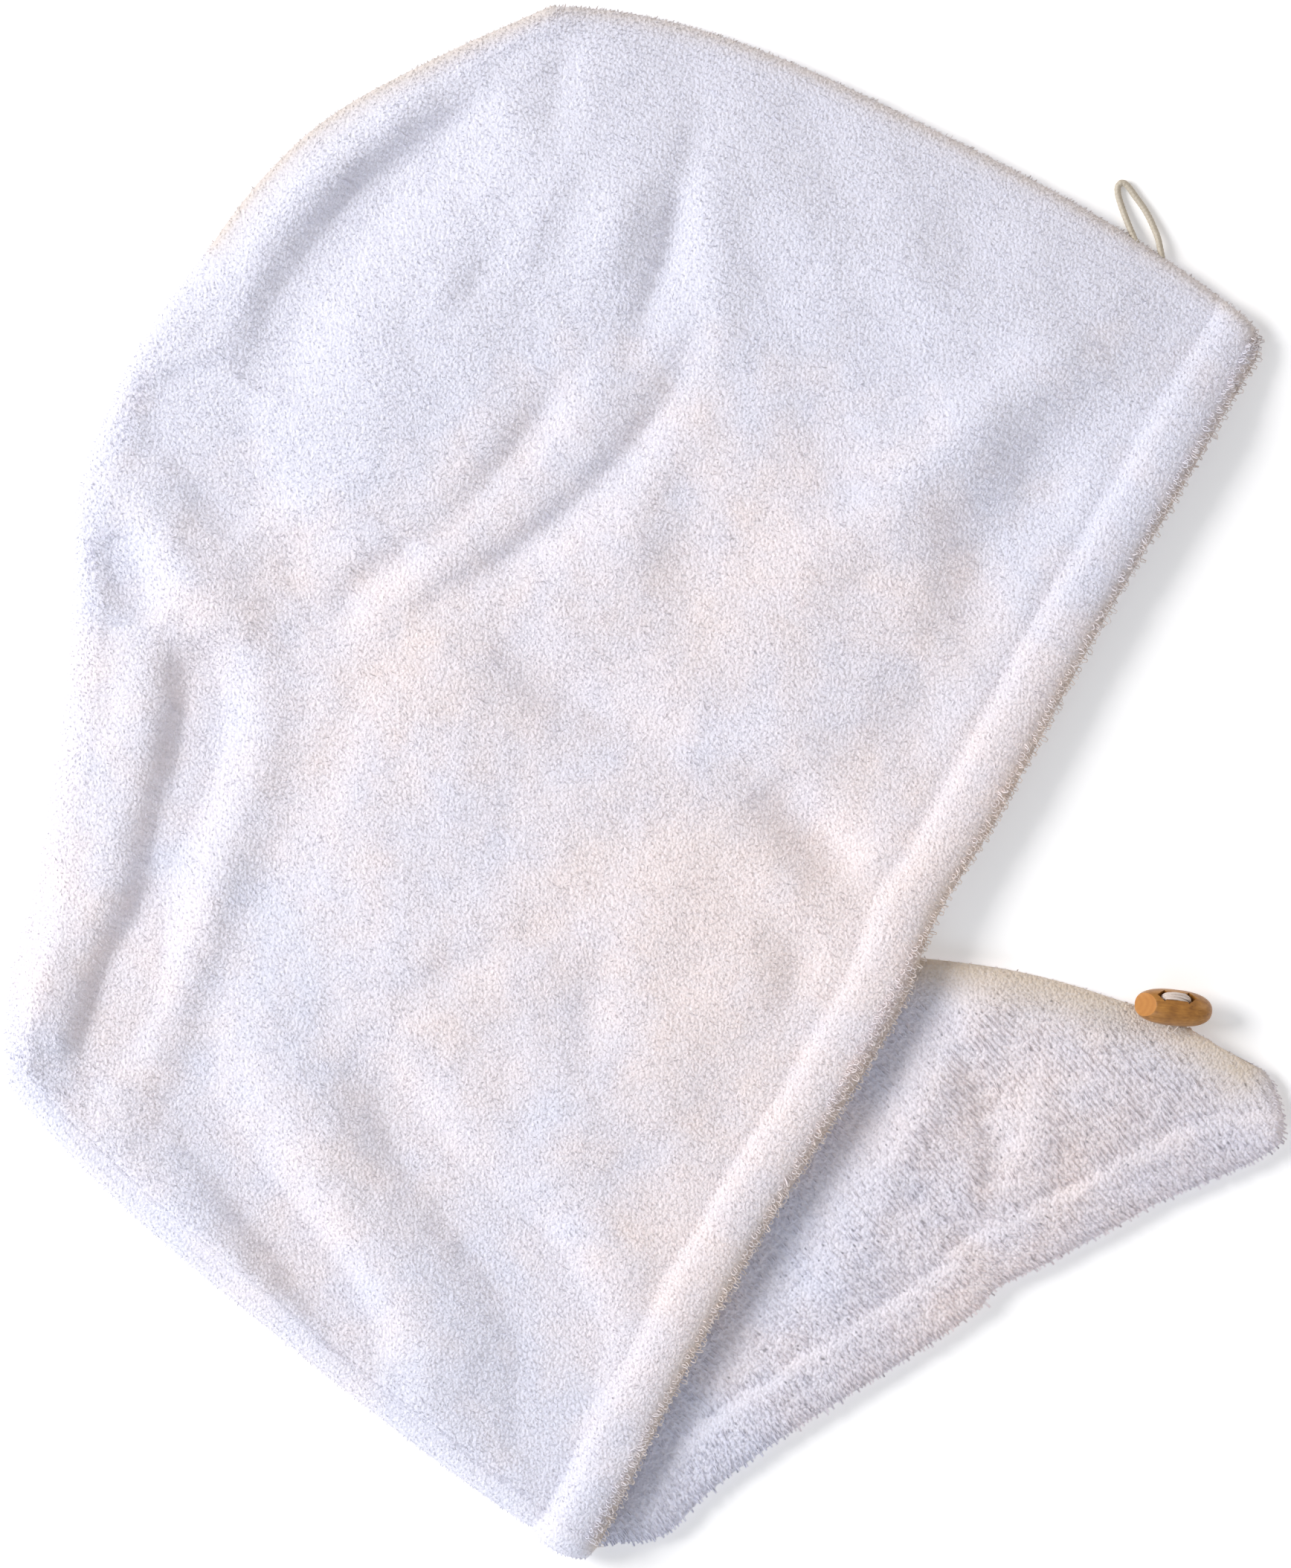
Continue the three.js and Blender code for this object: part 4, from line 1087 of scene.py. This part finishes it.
elastic = tubes_object("elastic_cord", [elastic_tube(cord_line)])
sewn_lines = [sewn_end(cord_line[0], cord_line[6]), sewn_end(cord_line[-1], cord_line[-7])]
sewn_ends = tubes_object("elastic_sewn_ends", [elastic_tube(line) for line in sewn_lines])
print("elastic cord", len(elastic.data.polygons), "faces")

# %% [markdown]
# The toggle is a turned wooden barrel with one end cut off at a slant, two square notches and a hole in
# each. It is turned on a lathe first, as a half outline swept round its axis, and then drilled and
# notched with boolean cuts, in the order in which a maker does it. A narrow bevel takes off the sharp
# edges.

# %% Sizes and place of the toggle, in millimetres
TOGGLE_LENGTH, TOGGLE_DIAMETER = 22.6, 10.5
TOGGLE_ROUND = 2.5  # exponent of its outline: 2 is an ellipse, more is fuller
TOGGLE_PLACE = 0.968  # along the tail's seam
TOGGLE_TURN, TOGGLE_RISE, TOGGLE_ROLL = -6.7, 7, 43  # degrees
CUT_SLOPE, CUT_FROM_END = 45, 0.6
HOLE_SPACING, HOLE_DIAMETER = 7.2, 3.2
NOTCH_SIDE, SADDLE_DEPTH = 3, 1.9
BEVEL_WIDTH, BEVEL_ABOVE, SHARP_ABOVE = 0.22, 38, 50  # the bevel in mm, the others in degrees
FACES_THE_CUT = 0.985  # cosine between a face and the cut's own direction
THREAD_DIAMETER = 2.5
FIT_GAP, SEAT_GAP = 0.3, 0.6

edge_point = through(tail_rows, np.array([TOGGLE_PLACE]))[0, 2:4]
toggle_seat = RIM + SEAT_GAP + TOGGLE_DIAMETER / 2
outward = np.array([-math.sin(math.radians(TOGGLE_TURN)), math.cos(math.radians(TOGGLE_TURN))])
toggle_plan = edge_point + outward * (toggle_seat * math.sin(math.radians(TOGGLE_ROLL)) - RIM)
toggle_level = CLOTH_WALL + SEAM_GAP / 2 + toggle_seat * math.cos(math.radians(TOGGLE_ROLL))
toggle_matrix = (
    Matrix.Translation(Vector(to_frame(np.array([*toggle_plan, toggle_level]))))
    @ Matrix.Rotation(math.radians(TOGGLE_TURN), 4, "Z")
    @ Matrix.Rotation(math.radians(TOGGLE_RISE), 4, "Y")
)
roll_matrix = Matrix.Rotation(math.radians(-TOGGLE_ROLL), 4, "X")


# %% Turn the barrel
def barrel_object(name, stations=56, sides=72):
    s = -np.cos(np.linspace(0, np.pi, stations + 1))[1:-1]
    radius = TOGGLE_DIAMETER / 2 * (1 - np.abs(s) ** TOGGLE_ROUND) ** (1 / TOGGLE_ROUND)
    angle = np.linspace(0, 2 * np.pi, sides, endpoint=False)
    rings = np.stack(np.broadcast_arrays(
        (s * TOGGLE_LENGTH / 2)[:, None],
        radius[:, None] * np.cos(angle),
        radius[:, None] * np.sin(angle),
    ), -1).reshape(-1, 3)
    number = np.arange(len(rings)).reshape(-1, sides)
    turned = np.roll(number, -1, axis=1)
    faces = np.stack([number[:-1], number[1:], turned[1:], turned[:-1]], -1).reshape(-1, 4).tolist()
    ends = [[-TOGGLE_LENGTH / 2, 0, 0], [TOGGLE_LENGTH / 2, 0, 0]]
    faces += [[int(a), int(b), len(rings)] for a, b in zip(number[0], turned[0])]
    faces += [[int(b), int(a), len(rings) + 1] for a, b in zip(number[-1], turned[-1])]
    mesh = bpy.data.meshes.new(name)
    mesh.from_pydata((np.concatenate([rings, ends]) * MM).tolist(), [], faces)
    return add_object(name, mesh)


# %% Drill, notch and cut it
def block(size, matrix):
    """A box of given sides in millimetres as a cutter."""
    corners = [(x, y, z) for x in (-0.5, 0.5) for y in (-0.5, 0.5) for z in (-0.5, 0.5)]
    faces = [(0, 1, 3, 2), (4, 6, 7, 5), (0, 4, 5, 1), (2, 3, 7, 6), (0, 2, 6, 4), (1, 5, 7, 3)]
    mesh = bpy.data.meshes.new("cutter")
    mesh.from_pydata([[a * s * MM for a, s in zip(c, size)] for c in corners], [], faces)
    mesh.transform(matrix)
    return add_object("cutter", mesh)


def drill(diameter, length, matrix):
    """A round cutter along its own Z."""
    line = [(0, 0, -length / 2 * MM), (0, 0, 0), (0, 0, length / 2 * MM)]
    points, faces = tube(line, diameter / 2 * MM, 32)
    mesh = bpy.data.meshes.new("cutter")
    mesh.from_pydata(points.tolist(), [], [[int(i) for i in f] for f in faces])
    mesh.transform(matrix)
    return add_object("cutter", mesh)


def shift(x, y, z):
    return Matrix.Translation((x * MM, y * MM, z * MM))


on_its_corner = Matrix.Rotation(math.radians(45), 4, "Z")
top = TOGGLE_DIAMETER / 2
cutters = [block((HOLE_SPACING, HOLE_DIAMETER, 2 * SADDLE_DEPTH), roll_matrix @ shift(0, 0, top))]
for x in (-HOLE_SPACING / 2, HOLE_SPACING / 2):
    cutters.append(drill(HOLE_DIAMETER, 2 * TOGGLE_DIAMETER, roll_matrix @ shift(x, 0, 0)))
    notch = (NOTCH_SIDE, NOTCH_SIDE, 2 * SADDLE_DEPTH)
    cutters.append(block(notch, roll_matrix @ shift(x, 0, top) @ on_its_corner))
slope = Matrix.Rotation(math.radians(CUT_SLOPE), 4, "Y")
cutters.append(block(
    (TOGGLE_LENGTH,) * 3,
    shift(CUT_FROM_END - TOGGLE_LENGTH / 2, 0, 0) @ slope @ shift(-TOGGLE_LENGTH / 2, 0, 0),
))

toggle = barrel_object("wooden_toggle")
for cutter in cutters:
    cut = toggle.modifiers.new("cut", "BOOLEAN")
    cut.object = cutter
    cut.operation = "DIFFERENCE"
    cut.solver = "EXACT"
edges = toggle.modifiers.new("edges", "BEVEL")
edges.width = BEVEL_WIDTH * MM
edges.segments = 2
edges.limit_method = "ANGLE"
edges.angle_limit = math.radians(BEVEL_ABOVE)


def keep_shape(piece):
    """Replaces a piece's mesh by what its modifiers make of it."""
    made = bpy.data.meshes.new_from_object(piece.evaluated_get(bpy.context.evaluated_depsgraph_get()))
    piece.modifiers.clear()
    piece.data = made


keep_shape(toggle)
for cutter in cutters:
    bpy.data.objects.remove(cutter)
toggle.data.shade_smooth()
toggle.data.set_sharp_from_angle(angle=math.radians(SHARP_ABOVE))
cut_way = slope.to_3x3() @ Vector((-1, 0, 0))
toggle_cut_faces = [face.index for face in toggle.data.polygons if face.normal @ cut_way > FACES_THE_CUT]
toggle.data.transform(toggle_matrix)
print("toggle", len(toggle.data.polygons), "faces,", len(toggle_cut_faces), "on the slanting cut")

# %% [markdown]
# The thread is a bundle of soft cotton strands. Each strand goes down one hole, over the saddle between
# the holes and down the other, and they part a little where nothing presses them together. One loose end
# curls out under the toggle.

# %% Strands of the thread
STRANDS = 9  # the last one goes through the middle of the others
STRAND_RADIUS = 0.38
SPREAD, BULGE = 0.6, 0.7  # mm off the bundle's middle, and how much wider over the saddle, as a share
STRAND_DRAW = 0.12
PLY_DEPTH, PLY_LAY = 0.12, 1.6
foot = -TOGGLE_DIAMETER / 2
saddle_top = TOGGLE_DIAMETER / 2 - SADDLE_DEPTH + FIT_GAP + THREAD_DIAMETER / 2
half = HOLE_SPACING / 2
bend = THREAD_DIAMETER / 2
draw = np.random.default_rng(17)
strands = []
for i in range(STRANDS):
    around = 2 * np.pi * i / (STRANDS - 1)
    out = 0 if i == STRANDS - 1 else SPREAD
    dy, dr = out * math.sin(around), out * math.cos(around)
    bulge = 1 + BULGE * abs(math.sin(around))
    wave = draw.normal(0, STRAND_DRAW, (8, 3))
    way = [
        (-half - dr, dy, foot),
        (-half - dr, dy, 0),
        (-half - dr, dy, saddle_top - 1.6 * bend),
        (-half + 0.5 * bend - 0.7 * dr, dy * bulge, saddle_top - 0.4 * bend + 0.7 * dr),
        (0, dy * bulge, saddle_top + 0.25 + dr),
        (half - 0.5 * bend + 0.7 * dr, dy * bulge, saddle_top - 0.4 * bend + 0.7 * dr),
        (half + dr, dy, saddle_top - 1.6 * bend),
        (half + dr, dy, foot),
    ]
    wave[[0, 1, -1]] *= 0.5
    line, _ = curve_through(np.array(way) + wave, 44)
    ply = lambda angle, along: PLY_DEPTH * np.cos(3 * angle + 2 * np.pi * along / (PLY_LAY * MM))
    strands.append(tube(line * MM, STRAND_RADIUS * MM, 9, ply))
thread = tubes_object("cotton_thread", strands)
thread.data.transform(toggle_matrix @ roll_matrix)

# %% The loose end, in the toggle's own millimetres
LOOSE_RADIUS = 0.22
LOOSE_END = [
    (2.2, -4.6, 0.6),
    (1.6, -6.0, -0.4),
    (0.4, -7.2, -0.6),
    (-0.9, -6.6, -0.3),
    (-0.6, -5.2, 0.5),
    (0.6, -4.4, 0.4),
]
line, _ = curve_through(LOOSE_END, 40)
twist = lambda angle, along: 0.1 * np.cos(2 * angle + along / MM * 5)
loose = tubes_object("loose_thread", [tube(line * MM, LOOSE_RADIUS * MM, 7, twist)])
loose.data.transform(toggle_matrix)
print("thread", len(thread.data.polygons) + len(loose.data.polygons), "faces")

# %% [markdown]
# Materials next. Their maths is written as plain expressions: a small class wraps a socket, and each
# operator adds one Math node. Any other node comes from one method that sets its options first and then
# its sockets.

# %% Sockets with arithmetic, and a finish
class Value:
    """A number socket. An expression on it adds Math nodes to its finish."""

    def __init__(self, finish, socket):
        self.finish, self.socket = finish, socket

    def math(self, operation, *terms):
        return self.finish.node("Math", {"operation": operation}, dict(enumerate(terms)))

    def __add__(self, other):
        return self.math("ADD", self, other)

    def __sub__(self, other):
        return self.math("SUBTRACT", self, other)

    def __rsub__(self, other):
        return self.math("SUBTRACT", other, self)

    def __mul__(self, other):
        return self.math("MULTIPLY", self, other)

    __radd__, __rmul__ = __add__, __mul__

    def clamp(self):
        return self.finish.node("Clamp", inputs={0: self})


class Finish:
    """One material: its nodes, and what its shader is set to."""

    def __init__(self, name, **constants):
        self.material = bpy.data.materials.new(name)
        self.material.use_nodes = True
        self.tree = self.material.node_tree
        self.shader = self.tree.nodes["Principled BSDF"]
        self.feed(self.shader, {key.replace("_", " "): value for key, value in constants.items()})

    def feed(self, node, inputs):
        for key, value in inputs.items():
            if isinstance(value, Value):
                self.tree.links.new(value.socket, node.inputs[key])
            else:
                node.inputs[key].default_value = value

    def node(self, kind, settings=None, inputs=None, output=0):
        node = self.tree.nodes.new("ShaderNode" + kind)
        for key, value in (settings or {}).items():
            if key == "stops":
                ramp = node.color_ramp.elements
                while len(ramp) < len(value):
                    ramp.new(1)
                for stop, (place, colour) in zip(ramp, value):
                    stop.position, stop.color = place, (*colour, 1)
            else:
                setattr(node, key, value)
        self.feed(node, inputs or {})
        return Value(self, node.outputs[output])

    def mix(self, factor, first, second):
        """A colour between two, by a factor."""
        pad = lambda colour: colour if isinstance(colour, Value) else (*colour, 1)
        inputs = {0: factor, 6: pad(first), 7: pad(second)}
        return self.node("Mix", {"data_type": "RGBA"}, inputs, output=2)

    def noise(self, place, scale, detail=2, rough=0.5, distort=0):
        inputs = {"Vector": place, "Scale": scale, "Detail": detail}
        return self.node("TexNoise", None, {**inputs, "Roughness": rough, "Distortion": distort}, "Fac")

    def place(self):
        """Position on the object in metres."""
        return self.node("TexCoord", output="Object")

    def made(self, colour, bump=None):
        """The material, once its shader has a colour and perhaps a bump."""
        self.feed(self.shader, {"Base Color": colour})
        if bump:
            self.feed(self.shader, {"Normal": self.node("Bump", None, bump)})
        return self.material


# %% [markdown]
# The white carries painted light. Near one spot of each part it is warm, as painted warm light, and away
# from it cool, as painted cool light, in patches, and each loop has a tone of its own. The outer rims mix to
# tan by the mesh's own attribute, as painted warm shade. The cloth under the loops gets a bump at the scale
# of its weave, with painted shade in its hollows, and lets a little light through.

# %% Terry finishes
# Warm white is painted warm light and cool white painted cool light; the shade white is a darker tone for
# painted shade in the weave's hollows and for random darker patches; the rim colour is painted warm shade.
COOL_LIGHT_WHITE = (0.85, 0.85, 0.97)
WARM_LIGHT_WHITE = (0.99, 0.875, 0.868)
SHADE_WHITE = (0.80, 0.785, 0.85)
PAINTED_RIM_SHADE = (0.74, 0.62, 0.50)
WEAVE_GAIN, WEAVE_BASE = 0.7, 0.25
# The creamy spot below is painted warm light.
PATCH_GAIN, SPOT_GAIN = 2.4, 0.8  # how much the wide and the small patches move the creamy spot's edge
COTTON_GLOW = {"Subsurface_Weight": 0.7, "Subsurface_Radius": (1.0, 0.95, 0.95), "Subsurface_Scale": 0.0009}


def white_with_painted_light(finish, warm):
    """Painted warm light round one spot and painted cool light away from it, in patches some centimetres
    wide.
    """
    place = finish.place()
    across = finish.node("SeparateXYZ", inputs={0: place}, output=0)
    along = finish.node("SeparateXYZ", inputs={0: place}, output=1)
    patches = finish.noise(place, 13, rough=0.55)
    small = finish.noise(place, 80, detail=1)
    across, along = across - warm["x"], along - warm["y"]
    away = across * across * warm["fade"][0] + along * along * warm["fade"][1]
    mask = (warm["most"] - away + (patches - 0.5) * PATCH_GAIN + (small - 0.5) * SPOT_GAIN).clamp()
    nap = finish.noise(place, 75, detail=3, rough=0.6)
    white = finish.mix(mask, COOL_LIGHT_WHITE, WARM_LIGHT_WHITE)
    white = finish.mix(((nap - 0.4) * 1.5).clamp() * 0.4, white, SHADE_WHITE)
    # The outer rims are mixed to tan as painted warm shade.
    rim = finish.node("Attribute", {"attribute_name": "rim"}, output="Fac")
    return place, finish.mix(rim, white, PAINTED_RIM_SHADE)


def terry_ground(name, warm):
    finish = Finish(name, Roughness=0.95, Sheen_Weight=0.2, Sheen_Roughness=0.5, **COTTON_GLOW)
    finish.shader.subsurface_method = "BURLEY"
    place, white = white_with_painted_light(finish, warm)
    cells = finish.node("TexVoronoi", {"feature": "F1"}, {"Vector": place, "Scale": 1100.0}, "Distance")
    weave = cells * WEAVE_GAIN - WEAVE_BASE
    fuzz = finish.noise(place, 2200, detail=3, rough=0.6)
    # Painted shade: the weave's hollows are mixed darker, and the fuzz adds a fine random tone.
    shade = finish.mix((weave * 0.5 + (fuzz - 0.5) * 0.8).clamp(), white, SHADE_WHITE)
    relief = 1 - weave + fuzz * 0.6
    return finish.made(shade, {"Strength": 0.85, "Distance": 0.0007, "Height": relief})


def terry_yarn(name, warm):
    finish = Finish(name, Roughness=0.9, Sheen_Weight=0.3, Sheen_Roughness=0.45)
    place, white = white_with_painted_light(finish, warm)
    each = finish.node("NewGeometry", output="Random Per Island")
    return finish.made(finish.mix(each * 0.3, white, SHADE_WHITE))


# The spot of painted warm light on each part: where it is in metres, how fast it fades and how strong it
# gets.
FRONT_WARM_LIGHT = {"x": 0.02, "y": -0.05, "fade": (14, 22), "most": 0.75}  # the spot in metres, how fast it fades
TAIL_WARM_LIGHT = {"x": 0.12, "y": -0.14, "fade": (60, 90), "most": 0.75}
front_ground, tail_ground = terry_ground("front_ground", FRONT_WARM_LIGHT), terry_ground("tail_ground", TAIL_WARM_LIGHT)
front_yarn, tail_yarn = terry_yarn("front_yarn", FRONT_WARM_LIGHT), terry_yarn("tail_yarn", TAIL_WARM_LIGHT)


# %% Elastic and cotton thread
def elastic_finish():
    finish = Finish("elastic_sheath", Roughness=0.55, Sheen_Weight=0.2)
    strands = finish.noise(finish.place(), 2200)
    return finish.made(finish.mix(strands, (0.36, 0.30, 0.22), (0.66, 0.60, 0.50)))


def thread_finish():
    finish = Finish("cotton_thread", Roughness=0.85, Sheen_Weight=0.3)
    fibres = finish.noise(finish.place(), 3000)
    return finish.made(finish.mix(fibres, (0.58, 0.49, 0.43), (0.82, 0.71, 0.64)))


# %% [markdown]
# The wood is light and oiled, with its grain along the barrel. The slanting cut shows the end grain as
# pale rings. The grain follows the toggle's own direction, so the place is turned back by the toggle's
# turn first.

# %% Wood finishes
def along_toggle(finish):
    """Place in the toggle's own directions, with X along the barrel."""
    centre = -(Matrix.Rotation(math.radians(-TOGGLE_TURN), 3, "Z") @ toggle_matrix.translation)
    inputs = {"Vector": finish.place(), "Location": centre, "Rotation": (0, 0, math.radians(-TOGGLE_TURN))}
    return finish.node("Mapping", None, inputs)


def wood_side():
    finish = Finish("toggle_wood", Roughness=0.42, Coat_Weight=0.25, Coat_Roughness=0.3)
    place = along_toggle(finish)
    long_grain = finish.node("Mapping", None, {"Vector": place, "Scale": (120, 1400, 1400)})
    streaks = finish.noise(long_grain, 1, detail=3, rough=0.6, distort=0.4)
    blotches = finish.noise(place, 260, detail=3, rough=0.6)
    wood = finish.node("ValToRGB", {"stops": [
        (0.25, (0.16, 0.055, 0.008)),
        (0.5, (0.36, 0.15, 0.024)),
        (0.75, (0.54, 0.25, 0.05)),
    ]}, {"Fac": (streaks * 0.6 + blotches * 0.55 - 0.05).clamp()})
    return finish.made(wood, {"Strength": 0.25, "Distance": 0.0002, "Height": streaks})


def wood_cut():
    finish = Finish("toggle_end_grain", Roughness=0.55)
    place = along_toggle(finish)
    kind = {"wave_type": "RINGS", "rings_direction": "X"}
    rings = finish.node("TexWave", kind, {"Vector": place, "Scale": 260.0, "Distortion": 3.0, "Detail": 2.0})
    grain = (rings * 0.25 + finish.noise(place, 1500) * 0.4).clamp()
    return finish.made(finish.mix(grain, (0.48, 0.17, 0.018), (0.64, 0.28, 0.045)))


# %% Dress the pieces and tie them to the body
def dress(material, *group):
    for piece in group:
        piece.data.materials.append(material)


dress(front_ground, front_cloth)
dress(tail_ground, back_cloth)
dress(front_yarn, *front_pile, hem_pile, edge_pile)
dress(tail_yarn, tail_pile)
dress(elastic_finish(), elastic, sewn_ends)
dress(thread_finish(), thread, loose)
dress(wood_side(), toggle)
dress(wood_cut(), toggle)
for index in toggle_cut_faces:
    toggle.data.polygons[index].material_index = 1

pieces = {
    "terry": [front_cloth, back_cloth, *front_pile, hem_pile, tail_pile, edge_pile],
    "elastic": [elastic, sewn_ends],
    "thread": [thread, loose],
    "toggle_wood": [toggle],
}
for slot, group in pieces.items():
    for piece in group:
        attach(piece, BODY)
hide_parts("front_panel")
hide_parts("back_panel")
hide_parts("elastic_loop")
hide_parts("toggle_button")
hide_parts("toggle_thread")

# %% [markdown]
# The elastic's path, in metres in the shared frame, and its points as tuples.

cord_path = to_frame(cord_line)
tuple(cord_path[0])
[tuple(p) for p in cord_path]

# %% [markdown]
# The photo's light is soft and comes from the left, a little from above in the picture. A weaker cool
# light comes from below and a warm one from the right. The floor is plain and nearly white.

# %% Floor and light
def plain_floor():
    finish = Finish("plain_floor", Roughness=0.9, Emission_Color=(1, 1, 1, 1), Emission_Strength=0.2)
    cloudy = finish.noise(finish.place(), 1.5, detail=1)
    return finish.made(finish.mix(cloudy, (0.93, 0.93, 0.935), (0.95, 0.95, 0.95)))


FLOOR_SIZE, FLOOR_LEVEL = 8, -0.0001
corners = np.array([(-1, -1, FLOOR_LEVEL), (1, -1, FLOOR_LEVEL), (1, 1, FLOOR_LEVEL), (-1, 1, FLOOR_LEVEL)])
floor = mesh_object("floor", corners * [FLOOR_SIZE / 2, FLOOR_SIZE / 2, 1], [(0, 1, 2, 3)])
floor.data.materials.append(plain_floor())
floor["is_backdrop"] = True


def soft_light(name, place, size, power, colour):
    lamp = bpy.data.lights.new(name, "AREA")
    lamp.shape = "DISK"
    lamp.size = size
    lamp.energy = power
    lamp.color = colour
    lit = add_object(name, lamp)
    lit.location = place
    lit.rotation_euler = (-Vector(place)).to_track_quat("-Z", "Y").to_euler()


soft_light("window", (-2.7, 0.72, 2.0), 1.8, 110, (1.0, 0.985, 0.975))
soft_light("cool_wall", (-1.2, -2.6, 2.0), 1.8, 24, (0.78, 0.87, 1.0))
soft_light("warm_wall", (2.8, 1.0, 1.1), 1.4, 14, (1.0, 0.80, 0.58))
world = bpy.data.worlds.new("room")
world.use_nodes = True
backdrop = world.node_tree.nodes["Background"].inputs
backdrop["Color"].default_value = (0.95, 0.965, 1.0, 1)
backdrop["Strength"].default_value = 0.41
bpy.context.scene.world = world
bpy.context.scene.view_settings.view_transform = "Standard"
bpy.context.scene.view_settings.look = "None"

# %% Sizes for the record and the end
shown_box = [list(corner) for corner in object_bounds()]
print("CAD box, mm:", [[round(v / MM, 1) for v in corner] for corner in cad_box])
print("shown box, mm:", [[round(v / MM, 1) for v in corner] for corner in shown_box])
